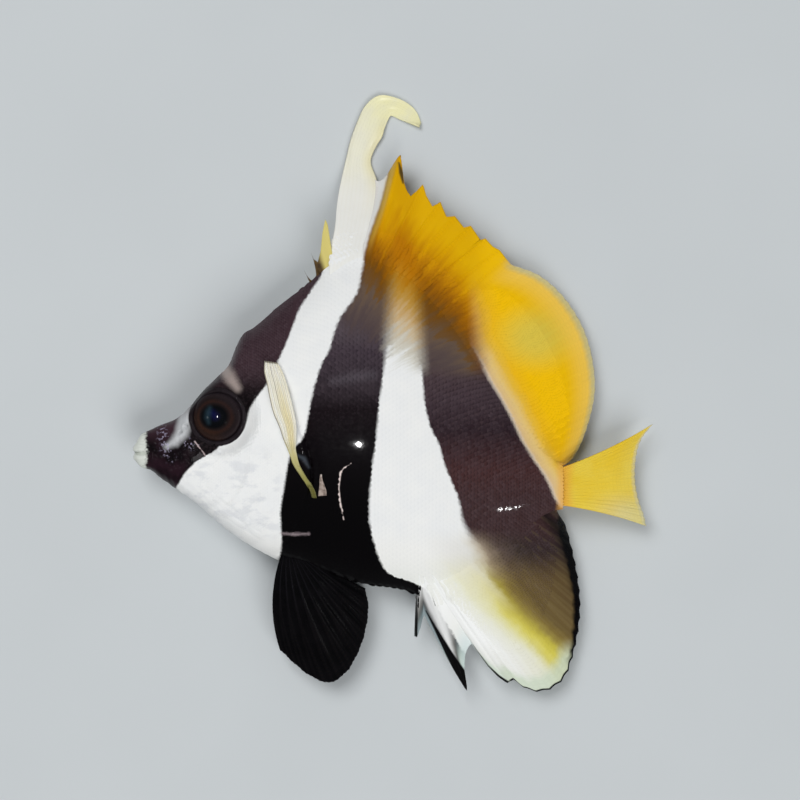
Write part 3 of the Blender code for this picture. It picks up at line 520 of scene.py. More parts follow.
wires, given, result = shader_group("band markings", [("Place", VECTOR), ("Fray", FLOAT)],
                                    [("Colour", COLOUR), ("Dark", FLOAT), ("Amber", FLOAT)])
place_mm = wires.scaled(given.outputs["Place"], IN_MM)
plain_x, plain_y = wires.flat_place(place_mm)
fray = given.outputs["Fray"]
band_x = wires.add(plain_x, wires.wobble(wires.noise(place_mm, 1.1, 3.0), fray))
elsewhere = wires.moved(place_mm, (40.0, 7.0, 3.0))
band_y = wires.add(plain_y, wires.wobble(wires.noise(elsewhere, 0.9, 3.0), fray))


def past(edge):
    """How far a place lies on the tail side of a band edge, along x."""
    line = wires.curve(band_y, [(y, x) for x, y in edge], *LEVELS, *ACROSS)
    return wires.less(band_x, line)


def across_edge(distance, blur):
    """0 before an edge, 1 behind it, over a strip of the width of the blur on each side."""
    return wires.step(distance, wires.times(blur, -1.0), blur)


past_middle_front, past_middle_hind = past(MIDDLE_FRONT), past(MIDDLE_HIND)
past_front, past_hind = past(HIND_FRONT), past(HIND_HIND)
upper_blur = wires.step(band_y, 11.0, 22.0, 0.24, 1.1)
after_mask = wires.step(past(MASK_EDGE), -0.24, 0.24)
in_middle = wires.times(wires.step(past_middle_front, -0.26, 0.26),
                        wires.less(1.0, across_edge(past_middle_hind, upper_blur)))
blur = wires.add(wires.step(band_y, -6.0, -16.0, 0.0, 0.9), upper_blur)
in_hind = wires.times(across_edge(past_front, blur), wires.step(past_hind, 0.55, -0.55))

mottle = wires.noise(place_mm, 0.35, 3.0)
speckle = wires.noise(place_mm, 2.6, 2.0)
white = wires.mix(mottle, (232, 234, 235), (243, 243, 240))
creased = wires.noise(wires.scaled(place_mm, (0.5, 0.9, 0.5)), 0.55, 4.0, 0.6)
cheek = wires.times(wires.step(band_x, -8.0, -13.0), wires.step(band_y, 3.0, -3.0))
white = wires.mix(wires.times(cheek, wires.step(creased, 0.48, 0.62), 0.45), white, (206, 209, 214))
# The middle band lightens upward from black to grey-violet: partly its own colour, partly painted sheen.
middle = wires.ramp(band_y, -22.0, 34.0, [(-22.0, (3, 2, 3)), (-7.0, (3, 2, 3)), (2.0, (8, 4, 7)),
                                          (7.0, (18, 9, 14)), (11.5, (50, 42, 48)),
                                          (16.0, (60, 50, 58)), (20.5, (90, 81, 86)),
                                          (24.0, (80, 64, 58)), (28.0, (80, 55, 37)),
                                          (34.0, (98, 66, 26))])
hind = wires.ramp(band_y, -18.0, 26.0, [(-18.0, (60, 42, 42)), (-7.0, (62, 42, 43)),
                                        (-2.5, (68, 42, 42)), (3.7, (42, 29, 35)), (9.0, (64, 51, 57)),
                                        (12.0, (70, 56, 60)), (15.5, (92, 74, 66)),
                                        (18.5, (126, 94, 60)), (24.0, (124, 84, 32))])
speckled = wires.times(wires.step(speckle, 0.40, 0.80), wires.step(band_y, -2.0, 16.0, 0.0, 0.12))
middle = wires.mix(speckled, middle, (104, 90, 98))
hind = wires.mix(wires.step(speckle, 0.40, 0.80, 0.0, 0.14), hind, (112, 92, 92))
colour = wires.mix(in_hind, white, hind)

# Below, the hind band runs out over the anal fin through brown and yellow.
slope_place = wires.add(past_front, wires.wobble(mottle, 1.8))
slope_place = wires.less(slope_place, wires.step(band_y, -25.0, -32.0))
upper_slope = wires.ramp(slope_place, -8.0, 10.0, [(-8.0, (240, 240, 237)), (-2.0, (228, 227, 222)),
                                                   (-0.8, (218, 213, 200)), (0.2, (196, 184, 164)),
                                                   (1.0, (160, 145, 126)), (2.0, (130, 115, 98)),
                                                   (3.5, (88, 74, 66)), (6.0, (60, 50, 45)),
                                                   (9.0, (54, 42, 42))])
lower_slope = wires.ramp(slope_place, -10.0, 10.0, [(-10.0, (238, 239, 234)), (-7.0, (234, 234, 216)),
                                                    (-4.5, (227, 223, 168)), (-3.0, (216, 206, 108)),
                                                    (-2.0, (198, 185, 82)), (-1.0, (174, 159, 70)),
                                                    (0.0, (152, 135, 64)), (1.2, (130, 111, 58)),
                                                    (3.0, (104, 86, 50)), (5.0, (106, 88, 54)),
                                                    (8.0, (96, 78, 50))])
pale_slope = wires.times(wires.near(slope_place, -3.6, 1.5, 1.6), wires.step(band_y, -25.5, -19.0))
lower_slope = wires.mix(wires.times(pale_slope, 0.6), lower_slope, (228, 226, 206))
lower = wires.mix(wires.step(band_y, -14.5, -20.5), upper_slope, lower_slope)
gold = wires.times(wires.near(slope_place, -3.0, 0.8, 2.2), wires.step(band_y, -24.0, -32.0))
lower = wires.mix(wires.times(gold, 0.6), lower, (220, 208, 74))
colour = wires.mix(wires.step(band_y, -11.0, -15.0), colour, lower)
colour = wires.mix(in_middle, colour, middle)

# Behind the hind band the back and the soft dorsal fin run from cream to yellow.
beyond = wires.add(wires.times(past_hind, 0.8), wires.wobble(mottle, 0.9))
fin_tone = wires.ramp(beyond, 0.0, 14.0, [(0.0, (214, 184, 140)), (1.2, (226, 194, 122)),
                                          (2.3, (228, 184, 62)), (3.4, (236, 184, 24)),
                                          (5.0, (243, 191, 5)), (14.0, (246, 196, 12))])
pale_away = wires.length(wires.times(wires.less(plain_x, PALE_SPOT[0]), PALE_SPOT_SQUEEZE),
                         wires.less(plain_y, PALE_SPOT[1]))
fin_tone = wires.mix(wires.step(pale_away, 6.5, 1.0, 0.0, 0.75), fin_tone, (212, 196, 84))
fin_zone = wires.times(wires.step(past_hind, -0.55, 0.55), wires.step(plain_x, 7.0, 11.0),
                       wires.step(plain_y, -9.5, -7.5))
colour = wires.mix(fin_zone, colour, fin_tone)

# Under the spines the bands dissolve, in streaks that follow the spines, into amber and gold.
from_x = wires.less(plain_x, SPINE_CENTRE[0])
from_y = wires.less(plain_y, SPINE_CENTRE[1])
bearing = wires.math("ARCTAN2", from_y, from_x)
from_spines = wires.length(from_x, from_y)
streak = wires.noise(wires.join(wires.times(bearing, 24.0), wires.times(from_spines, 0.10)), 1.1, 4.0, 0.6)
amber_line = wires.curve(plain_x, AMBER_LINE, *ACROSS, *LEVELS)
height = wires.add(wires.less(plain_y, amber_line), wires.wobble(streak, 9.0))
amber_light = wires.ramp(height, -8.0, 16.0, [(-8.0, (214, 213, 203)), (-5.0, (203, 196, 180)),
                                              (-3.0, (204, 184, 150)), (-1.0, (200, 167, 116)),
                                              (1.0, (190, 149, 74)), (3.0, (187, 136, 42)),
                                              (5.0, (184, 123, 18)), (7.0, (180, 114, 3)),
                                              (10.0, (184, 117, 1)), (13.0, (202, 142, 1)),
                                              (15.5, (216, 162, 2))])
amber_dark = wires.ramp(height, -8.0, 16.0, [(-8.0, (72, 60, 64)), (-4.0, (88, 74, 70)),
                                             (-1.0, (102, 84, 70)), (0.0, (106, 78, 48)),
                                             (3.0, (116, 75, 20)), (5.0, (138, 85, 7)),
                                             (7.0, (160, 101, 3)), (9.0, (186, 125, 3)),
                                             (11.0, (206, 146, 2)), (13.5, (221, 165, 2)),
                                             (16.0, (228, 176, 3))])
banded = wires.math("MAXIMUM", wires.step(past_middle_hind, 1.6, -1.6), wires.step(past_front, -1.6, 1.6))
amber_tone = wires.mix(banded, amber_light, amber_dark)
# Painted sheen: a pale yellow streak of light along the front edge of the middle band, high on the fin.
front_sheen = wires.times(wires.near(past_middle_front, 0.4, 0.2, 0.7), wires.step(plain_y, 30.0, 35.0))
amber_tone = wires.mix(wires.times(front_sheen, 0.4), amber_tone, (206, 178, 84))
amber = wires.times(wires.step(height, -10.0, -6.0), wires.step(past_middle_front, -0.5, 0.7),
                    wires.step(plain_x, 22.5, 18.0), wires.step(plain_y, 11.0, 14.0))
colour = wires.mix(amber, colour, amber_tone)

# The mask: blue-black round the eye and over the snout, brown-violet on the nape, pale on brow and cheek.
nape = wires.mix(wires.step(band_y, 8.5, 14.5), (15, 10, 12), (62, 45, 51))
nape = wires.mix(wires.step(speckle, 0.40, 0.85, 0.0, 0.18), nape, (92, 76, 82))
snout = wires.mix(wires.step(mottle, 0.35, 0.65), (10, 5, 8), (36, 20, 28))
snout = wires.mix(wires.step(band_y, 1.0, 4.5), snout, (60, 40, 48))
nape = wires.mix(wires.step(band_x, -24.0, -26.5), nape, snout)
colour = wires.mix(after_mask, nape, colour)
brow = wires.stroke(band_x, band_y, BROW, 0.7)
colour = wires.mix(wires.times(brow, 0.9), colour, (168, 154, 148))
cheek_tone = wires.mix(wires.step(band_y, 5.0, 8.0), (198, 200, 202), (150, 145, 148))
cheek_patch = wires.stroke(band_x, band_y, CHEEK_PATCH, 0.65)
colour = wires.mix(wires.times(cheek_patch, 0.95), colour, cheek_tone)
# Painted glints: bluish-white flecks on the snout stand for sparkles of light off its wet skin.
glint_flecks = wires.step(wires.noise(place_mm, 2.3, 3.0), 0.54, 0.66)
for blotch in SNOUT_GLINT_STROKES:
    wet = wires.times(wires.stroke(plain_x, plain_y, blotch, 0.8), glint_flecks)
    colour = wires.mix(wires.times(wet, 0.8), colour, (178, 170, 196))
speckles = wires.step(speckle, 0.28, 0.42, 0.8, 1.0)
# Among these strokes the gill-cover crescent, the belly line and the streak over the middle band are painted
# light; the rest are marks of the skin.
for points, soft, strength, tone in MARKS_AND_PAINTED_SHINES:
    mark_or_shine = wires.times(wires.stroke(plain_x, plain_y, points, soft), speckles)
    colour = wires.mix(wires.times(mark_or_shine, strength), colour, tone)
from_eye = wires.length(wires.less(plain_x, EYE_X), wires.less(plain_y, EYE_Y))
colour = wires.mix(wires.step(from_eye, EYE_RADIUS + 0.7, EYE_RADIUS + 0.35), colour, (9, 7, 8))
lip_start = wires.add(band_x, wires.times(wires.math("ABSOLUTE", wires.less(band_y, 0.4)), 0.10))
lip_start = wires.add(lip_start, wires.wobble(speckle, 1.2))
colour = wires.mix(wires.step(lip_start, -31.0, -31.7), colour, (214, 218, 210))
stalk_end = wires.times(wires.step(plain_x, 31.6, 32.8), wires.near(plain_y, -5.1, 3.4, 0.8))
colour = wires.mix(wires.times(stalk_end, 0.7), colour, (230, 172, 84))
wires.feed(result.inputs["Colour"], colour)
wires.feed(result.inputs["Dark"], wires.step(wires.brightness(colour), 0.45, 0.05))
wires.feed(result.inputs["Amber"], wires.math("MAXIMUM", amber, fin_zone))


def new_material(name, **fixed):
    """A Principled material; fixed values are set on the shader's own sockets."""
    made = bpy.data.materials.new(name)
    made.use_nodes = True
    shader = made.node_tree.nodes["Principled BSDF"]
    for key, value in fixed.items():
        shader.inputs[key.replace("_", " ").title().replace("Ior", "IOR")].default_value = value
    return made, Wiring(made.node_tree), shader


# Mucus: a thin uneven wet film, as bump and as roughness.
wires, given, result = shader_group("wet film", [("Place", VECTOR), ("Grain", FLOAT), ("Height", FLOAT)],
                                    [("Normal", VECTOR), ("Rough", FLOAT)])
film = wires.noise(given.outputs["Place"], given.outputs["Grain"], 4.0, 0.55)
wires.feed(result.inputs["Normal"], wires.raised(film, 0.35, given.outputs["Height"]))
wires.feed(result.inputs["Rough"], wires.straight(film, 0.25, 0.75))

skin_material, wires, shader = new_material("fish skin", ior=1.33, coat_roughness=0.05, coat_ior=1.33,
                                            specular_ior_level=0.12)
place = wires.own_place()
marks = wires.group("band markings", {"Place": place, "Fray": 0.35})
film = wires.group("wet film", {"Place": place, "Grain": 800.0, "Height": 0.0001})
wires.feed(shader.inputs["Base Color"], marks["Colour"])
wires.feed(shader.inputs["Roughness"], wires.straight(film["Rough"], 0.0, 1.0,0.34, 0.56))
wires.feed(shader.inputs["Coat Weight"], wires.straight(film["Rough"], 0.0, 1.0,0.40, 0.30))
wires.feed(shader.inputs["Normal"], film["Normal"])
skin.data.materials.append(skin_material)
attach(skin, "root")
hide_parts("head", "trunk", "tail_stalk", "upper_jaw", "lower_jaw", "gill_cover_left",
            "gill_cover_right")


# Scales: thin rounded plates of clear bone, each rooted in a pocket of the skin and lapping over the next
# row towards the tail. Each is one small vane, larger on the flank and smaller on head and stalk.
SCALE_PITCH = 0.84
HEAD_PITCH = 0.52
SCALE_RISE, SCALE_THICK, SCALE_SUNK = 0.045, 0.03, 0.012
SCALE_LENGTH, CROWN = 1.38, 0.62
SCALE_SHAPE = [(0.0, -0.36), (0.0, 0.36), (0.62, 0.56), (1.12, 0.44), (SCALE_LENGTH, 0.0), (1.12, -0.44),
               (0.62, -0.56)]
ROW_STEP, COLUMN_STEP = 0.66, 0.98
PROBE = 0.06
SIDES = ((1, "left"), (-1, "right"))
NAPE_LINE = [(-7.4, 30.0), (-8.3, 23.5), (-9.4, 18.4), (-9.9, 12.6)]
scale_random = np.random.default_rng(7)


def rows_of(side, first_x, last_x, pitch_at, kept):
    """Roots of the scales of one flank: station, turn and size in staggered rows, where kept says so."""
    found, x, odd = [], first_x, False
    sweep = np.linspace(0.02, math.pi - 0.02, 700)
    while x < last_x:
        pitch = float(pitch_at(x))
        turn = sweep if side > 0 else -sweep
        ring = flesh(np.full(sweep.shape, x), turn)
        run = np.concatenate([[0.0], np.cumsum(np.linalg.norm(np.diff(ring, axis=0), axis=1))])
        middle = np.interp(math.pi / 2, sweep, run)
        row = np.arange(-90, 91) + (0.5 if odd else 0.0)
        at = middle + row * pitch * COLUMN_STEP
        at = at[(at > 0.15) & (at < run[-1] - 0.15)]
        at = at + scale_random.normal(0, 0.03 * pitch, at.shape)
        picked = np.interp(at, run, turn)
        spots = flesh(np.full(picked.shape, x), picked)
        use = kept(spots[:, 0], spots[:, 1])
        found += [(x, t, pitch) for t in picked[use]]
        x += pitch * ROW_STEP
        odd = not odd
    return np.array(found)


def head_end(y):
    """The x where the scaled trunk starts: the gill opening, and above it the nape."""
    return np.where(y > 12.6, x_on(NAPE_LINE, y), x_on(GILL_EDGE, y))


def on_trunk(x, y):
    return (x > head_end(y) + 0.15) & (x < TAIL_X - 0.5)


def on_head(x, y):
    clear = np.hypot(x - EYE_X, y - EYE_Y) > EYE_RADIUS + 1.3
    return clear & (x < head_end(y) - 0.7) & (x > -24.0 + 0.12 * np.abs(y))


def keep(mesh, label, values):
    """Keeps a number or a vector for each corner of the mesh, for its material to read."""
    vectors = values.ndim > 1
    layer = mesh.attributes.new(label, "FLOAT_VECTOR" if vectors else "FLOAT", "POINT")
    layer.data.foreach_set("vector" if vectors else "value", values.astype(np.float32).ravel())


def vane_mesh(name, base, tail, normal, shade, pitch, calmness, spots):
    """One mesh of scale vanes: their roots, tail directions, outward normals, sizes and unwrap places.

    shade is the normal that the wet film over them takes, as far as calmness says."""
    wide = np.cross(normal, tail)
    many = len(base)
    shape = np.array(SCALE_SHAPE)
    points = len(shape)
    size = pitch * (1 + scale_random.normal(0, 0.03, many))
    tilt = scale_random.normal(0, 0.04, many)[:, None]
    flat_l = (shape[None, :, 0] - 0.35) * size[:, None]
    flat_w = shape[None, :, 1] * size[:, None]
    l = flat_l * np.cos(tilt) - flat_w * np.sin(tilt)
    w = flat_l * np.sin(tilt) + flat_w * np.cos(tilt)
    uneven = 1 + scale_random.normal(0, 0.15, many)
    lift = (SCALE_RISE * (shape[:, 0] / SCALE_LENGTH) ** 0.8 - SCALE_SUNK)[None] * uneven[:, None]
    lift = lift * pitch[:, None] - 0.05 * (w / pitch[:, None]) ** 2
    top = base[:, None] + tail[:, None] * l[..., None] + wide[:, None] * w[..., None]
    top = top + normal[:, None] * lift[..., None]
    low = top - normal[:, None] * SCALE_THICK
    crown = base + tail * ((CROWN - 0.35) * size)[:, None] + normal * (lift[:, 3] * 0.9 + 0.005)[:, None]
    verts = np.concatenate([top, low, crown[:, None]], axis=1)
    verts[..., 2] = np.maximum(verts[..., 2], 0.015)
    each = 2 * points + 1
    k = np.arange(points)
    after = (k + 1) % points
    fan = np.stack([np.full(points, 2 * points), after, k], 1)
    rim = np.concatenate([np.stack([k, after + points, k + points], 1),
                          np.stack([k, after, after + points], 1)])
    under = np.array([(points, points + b, points + b + 1) for b in range(1, points - 1)])
    one_scale = np.concatenate([fan, rim, under])
    triangles = (one_scale[None] + (np.arange(many) * each)[:, None, None]).reshape(-1, 3)
    mesh = bpy.data.meshes.new(name)
    mesh.vertices.add(many * each)
    mesh.vertices.foreach_set("co", (verts * MM).astype(np.float32).ravel())
    mesh.loops.add(triangles.size)
    mesh.loops.foreach_set("vertex_index", triangles.astype(np.int32).ravel())
    mesh.polygons.add(len(triangles))
    mesh.polygons.foreach_set("loop_start", np.arange(0, triangles.size, 3, dtype=np.int32))
    mesh.update(calc_edges=True)
    mesh.validate()
    mesh.shade_smooth()
    centre = (base + tail * 0.3 * pitch[:, None])[:, None]
    held = centre * 0.3 + verts * 0.7
    reach = np.append(np.tile(shape[:, 0], 2), CROWN) / SCALE_LENGTH
    keep(mesh, "root", held * MM)
    keep(mesh, "tone", np.repeat(scale_random.random(many), each))
    keep(mesh, "reach", np.tile(reach, many))
    own = np.zeros(many * each * 3, np.float32)
    mesh.vertex_normals.foreach_get("vector", own)
    own = own.reshape(-1, 3)
    blended = own * (1 - calmness) + np.repeat(shade, each, axis=0) * calmness
    lower = np.tile(np.repeat([False, True, False], [points, points, 1]), many)
    blended[lower] = own[lower]
    mesh.normals_split_custom_set_from_vertices(blended / np.linalg.norm(blended, axis=1, keepdims=True))
    unwrap = mesh.uv_layers.new(name="OFBake")
    local = np.concatenate([shape, shape, [(CROWN, 0.0)]]) * 0.002
    corners = (spots[:, None] * 0.9 + 0.05 + local[None]).reshape(-1, 2)[triangles.ravel()]
    unwrap.data.foreach_set("uv", corners.astype(np.float32).ravel())
    made = placed(name, mesh)
    made.data.materials.append(scale_material)
    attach(made, "root")
    print(name, many, "scales", len(mesh.polygons), "triangles")
    return made


def unit(vectors):
    """The vectors at a length of 1."""
    return vectors / np.maximum(np.linalg.norm(vectors, axis=-1, keepdims=True), 1e-9)


def beside_fin(x, y):
    """1 on the body's edge where a fin stands on it, 0 from 3.4 mm inside it."""
    ends = 1 - ease(x, 30.5, 33.0)
    back = ease(x, -5.0, -2.0) * (1 - ease(smooth(BACK, x) - y, 0.0, 3.4))
    belly = ease(x, 9.0, 12.0) * (1 - ease(y - smooth(BELLY, x), 0.0, 3.4))
    return ends * np.maximum(back, belly)


def scale_coat(name, roots, side, calmness):
    """The scales of the body on the given roots."""
    x, turn, pitch = roots.T
    base = flesh(x, turn)
    tail = unit(flesh(x + 0.05, turn) - base)
    normal = unit(np.cross(flesh(x, turn + 0.004) - base, tail))
    normal *= np.sign((normal[:, 2] * side).mean())
    plain_x, plain_y = base[:, 0], base[:, 1]
    rise_x = relief(plain_x + PROBE, plain_y) - relief(plain_x - PROBE, plain_y)
    rise_y = relief(plain_x, plain_y + PROBE) - relief(plain_x, plain_y - PROBE)
    rise = np.stack([rise_x, rise_y, 0 * plain_x], -1) / (2 * PROBE)
    wrinkled = unit(normal - rise * np.abs(normal[:, 2:]))
    base = under_side(base + normal * relief(plain_x, plain_y)[:, None])
    spots = np.stack([(x - SNOUT_X) / (TAIL_X - SNOUT_X), np.mod(turn, 2 * math.pi) / (2 * math.pi)], 1)
    flat = beside_fin(base[:, 0], base[:, 1])[:, None]
    shade = unit(wrinkled * (1 - flat) + np.array((0.0, 0.0, side)) * flat)
    return vane_mesh(name, base, tail, normal, shade, pitch, calmness, spots)


scale_material, wires, shader = new_material("fish scales", ior=1.33, coat_roughness=0.05, coat_ior=1.33,
                                             specular_ior_level=0.12)
scale_tone = wires.read("tone", "Fac")
scale_reach = wires.read("reach", "Fac")
marks = wires.group("band markings", {"Place": wires.read("root", "Vector"), "Fray": 0.3})
film = wires.group("wet film", {"Place": wires.own_place(), "Grain": 1500.0, "Height": 0.00002})
dark = wires.times(marks["Dark"], wires.less(1.0, marks["Amber"]))
rim = wires.step(scale_reach, 0.60, 1.0)
edged = wires.mix(wires.times(rim, dark, 0.45), marks["Colour"], (7, 4, 6))
pale = wires.mix(wires.times(rim, 0.07), marks["Colour"], (176, 180, 186), "MULTIPLY")
coloured = wires.mix(marks["Dark"], pale, edged)
lit = wires.step(wires.brightness(marks["Colour"]), 0.003, 0.02)
coloured = wires.mix(wires.times(scale_tone, dark, lit, 0.10), coloured, (112, 98, 106))
wires.feed(shader.inputs["Base Color"], coloured)
wires.feed(shader.inputs["Roughness"], wires.straight(film["Rough"], 0.0, 1.0,0.32, 0.52))
wires.feed(shader.inputs["Coat Weight"], wires.straight(film["Rough"], 0.0, 1.0,0.40, 0.30))
wires.feed(shader.inputs["Normal"], film["Normal"])


def trunk_pitch(x):
    return np.interp(x, (-12, -4, 14, 26, 33), (0.70, SCALE_PITCH, SCALE_PITCH, 0.66, 0.54))


for side, word in SIDES:
    for part_name, roots, calmness in (
            ("flank_scales", rows_of(side, -12.5, TAIL_X - 0.6, trunk_pitch, on_trunk), 0.992),
            ("head_scales", rows_of(side, -25.0, -6.0, lambda x: HEAD_PITCH, on_head), 0.99)):
        scale_coat(f"{part_name}_{word}", roots, side, calmness)


# Eyes: a clear-fronted globe in a fleshy ring. The iris is dark brown with two coppery rings, the pupil
# black, with a painted blue reflection and a painted teal crescent of reflected light towards the snout.
GLOBE_ROWS, EYE_TURNS = 52, 96
RING_INNER, RING_OUTER, RING_TURNS = 3.72, 4.62, 120
RING_PROFILE = [(0.0, -0.35), (0.08, -0.04), (0.17, 0.04), (0.27, 0.08), (0.38, 0.10), (0.5, 0.09),
                (0.62, 0.06), (0.75, 0.03), (0.87, -0.01), (1.0, -0.10)]
PUPIL, PUPIL_SQUEEZE = (-0.5, 0.0), 1.15
EYE_TURN = (0.073, 0.019)
CORNEA_RISE = 1.05
BLUE_REFLECTION = [(-0.7, 0.6, 0.4), (-0.3, 0.1, 0.5)]
CRESCENT_REFLECTION = [(-1.15, 1.35, 0.15), (-1.35, 0.75, 0.35), (-1.5, -0.1, 0.3), (-1.3, -0.9, 0.1)]


def eye_globe(name, box, side):
    """A globe that fills its box, with a slightly raised cornea that is turned a little aside."""
    low, high = box
    centre = np.array((low + high) / 2) / MM
    radii = np.array((high - low) / 2) / MM
    rows = np.linspace(0.0, math.pi, GLOBE_ROWS)
    turn = np.linspace(0, 2 * math.pi, EYE_TURNS, endpoint=False)
    grid, around = np.meshgrid(rows[1:-1], turn, indexing="ij")
    points = np.stack([np.sin(grid) * np.cos(around), np.sin(grid) * np.sin(around), np.cos(grid)], -1)
    front = points[..., 2] * side > 0
    out = np.hypot(points[..., 0], points[..., 1])
    points[..., 2] += side * front * (0.10 * np.exp(-(out / 0.5) ** 4) - 0.05)
    flat = centre + points * radii
    turned = (flat[..., :2] - centre[:2]) @ np.array(EYE_TURN)
    flat[..., 2] -= side * front * turned * (1 - out ** 2) ** 2
    poles = [centre + np.array((0, 0, radii[2] * (CORNEA_RISE if side > 0 else 1.0))),
             centre - np.array((0, 0, radii[2] * (CORNEA_RISE if side < 0 else 1.0)))]
    return closed_tube(name, flat, poles)


eye_material, wires, shader = new_material("fish eye", ior=1.38, coat_weight=0.45, coat_roughness=0.05,
                                           coat_ior=1.38, specular_ior_level=0.05)
centred = wires.moved(wires.scaled(wires.own_place(), IN_MM), (-EYE_X, -EYE_Y, 0.0))
ex, ey = wires.flat_place(centred)
whole = wires.length(ex, ey)
from_pupil = wires.length(wires.less(ex, PUPIL[0]), wires.times(wires.less(ey, PUPIL[1]), PUPIL_SQUEEZE))
outward = wires.step(whole, 2.2, 3.8)
radius = wires.add(from_pupil, wires.times(outward, wires.less(whole, from_pupil)))
angle = wires.math("ARCTAN2", ey, ex)
fibres = wires.noise(wires.join(wires.times(angle, 9.0), wires.times(radius, 0.7)), 2.2, 5.0, 0.65)
iris = wires.ramp(radius, 0.0, 4.2, [(0.0, (4, 6, 12)), (1.80, (4, 5, 8)), (2.05, (16, 11, 12)),
                                     (2.35, (30, 22, 22)), (2.65, (46, 28, 24)),
                                     (2.90, (42, 27, 24)), (3.15, (30, 23, 24)),
                                     (3.40, (38, 29, 31)), (3.65, (32, 26, 30)), (3.90, (16, 13, 16))])
in_iris = wires.times(wires.step(radius, 2.1, 2.5), wires.step(whole, 3.85, 3.6))
iris = wires.mix(wires.times(wires.step(wires.add(ex, ey), -1.0, -4.0), in_iris, 0.25), iris, (70, 44, 26))
iris = wires.mix(wires.times(wires.step(wires.add(ex, ey), 1.5, 4.5), in_iris, 0.25), iris, (50, 44, 50))
fibre_dark = wires.times(wires.step(fibres, 0.35, 0.70), wires.step(radius, 2.05, 2.3, 0.0, 0.4))
iris = wires.mix(fibre_dark, iris, (22, 14, 12))
# Painted reflection: a deep blue patch in the pupil and a teal crescent beside it stand for light mirrored in
# the eye.
blue_reflection = wires.stroke(ex, ey, BLUE_REFLECTION, 0.6)
iris = wires.mix(wires.times(blue_reflection, wires.step(from_pupil, 2.0, 1.5), 0.8), iris, (8, 10, 60))
crescent_reflection = wires.stroke(ex, ey, CRESCENT_REFLECTION, 0.6)
iris = wires.mix(wires.times(crescent_reflection, 0.6), iris, (44, 66, 78))
wires.feed(shader.inputs["Base Color"], iris)
wires.feed(shader.inputs["Roughness"], wires.straight(fibres, 0.2, 0.8, 0.2, 0.45))
wires.feed(shader.inputs["Normal"], wires.raised(fibres, 0.12, 0.0001))


def flank_turn(x, y):
    """The turn round the body section at which the left flank passes over (x, y)."""
    level, back, belly = smooth(WIDEST, x), smooth(BACK, x), smooth(BELLY, x)
    return np.arccos(np.clip((y - level) / np.where(y > level, back - level, level - belly), -1, 1))


def half_width(x, y):
    """How far a flank stands out from the middle plane at (x, y)."""
    return flesh(x, flank_turn(x, y))[..., 2] - MID_HEIGHT


def orbit_ring(name, side):
    """The fleshy ring round an eye, from the globe out into the skin, drawn in where the brow is near."""
    turn = np.linspace(0, 2 * math.pi, RING_TURNS, endpoint=False)
    outward, raise_by = np.array(RING_PROFILE).T
    reach = RING_INNER + (RING_OUTER - RING_INNER) * outward
    probe = np.linspace(RING_INNER, RING_OUTER + 0.6, 60)
    far_x = EYE_X + probe[:, None] * np.cos(turn)[None]
    far_y = EYE_Y + probe[:, None] * np.sin(turn)[None]
    outside = far_y > smooth(BACK, far_x) - 0.35
    limit = np.where(outside.any(axis=0), probe[outside.argmax(axis=0)], RING_OUTER)
    limit = np.clip(limit, RING_INNER + 0.45, RING_OUTER)
    limit = np.convolve(np.concatenate([limit[-4:], limit, limit[:4]]), np.full(9, 1 / 9), "valid")
    drawn_in = (limit - RING_INNER) / (RING_OUTER - RING_INNER)
    across = RING_INNER + (reach[:, None] - RING_INNER) * drawn_in[None]
    x, y = EYE_X + across * np.cos(turn)[None], EYE_Y + across * np.sin(turn)[None]
    pores = 0.012 * np.sin(turn * 23)[None] * bump(reach, 4.15, 0.2)[:, None]
    top = np.stack([x, y, MID_HEIGHT + side * (half_width(x, y) + raise_by[:, None] + pores)], -1)
    low = top - (0, 0, side * 0.35)
    both = np.concatenate([top, low[::-1]])
    faces = []
    for r in range(len(both)):
        first, second = r * RING_TURNS, (r + 1) % len(both) * RING_TURNS
        for c in range(RING_TURNS):
            d = (c + 1) % RING_TURNS
            face = (first + c, first + d, second + d, second + c)
            faces.append(face if side < 0 else face[::-1])
    return mesh_object(name, both.reshape(-1, 3), faces)


ring_material, wires, shader = new_material("orbit flesh", ior=1.33, coat_roughness=0.06, coat_ior=1.33,
                                            specular_ior_level=0.12)
ring_place = wires.own_place()
film = wires.group("wet film", {"Place": ring_place, "Grain": 1400.0, "Height": 0.00012})
ring_tone = wires.noise(ring_place, 900.0, 3.0)
wires.feed(shader.inputs["Base Color"], wires.mix(ring_tone, (14, 11, 13), (44, 37, 41)))
wires.feed(shader.inputs["Roughness"], wires.straight(film["Rough"], 0.0, 1.0,0.3, 0.5))
wires.feed(shader.inputs["Coat Weight"], wires.step(ring_tone, 0.2, 0.8, 0.25, 0.4))
wires.feed(shader.inputs["Normal"], film["Normal"])
for side, word in SIDES:
    globe = eye_globe(f"eye_globe_{word}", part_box(f"eye_{word}"), side)
    globe.data.materials.append(eye_material)
    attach(globe, "root")
    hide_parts(f"eye_{word}")
    orbit = orbit_ring(f"orbit_ring_{word}", side)
    orbit.data.materials.append(ring_material)
    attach(orbit, "root")


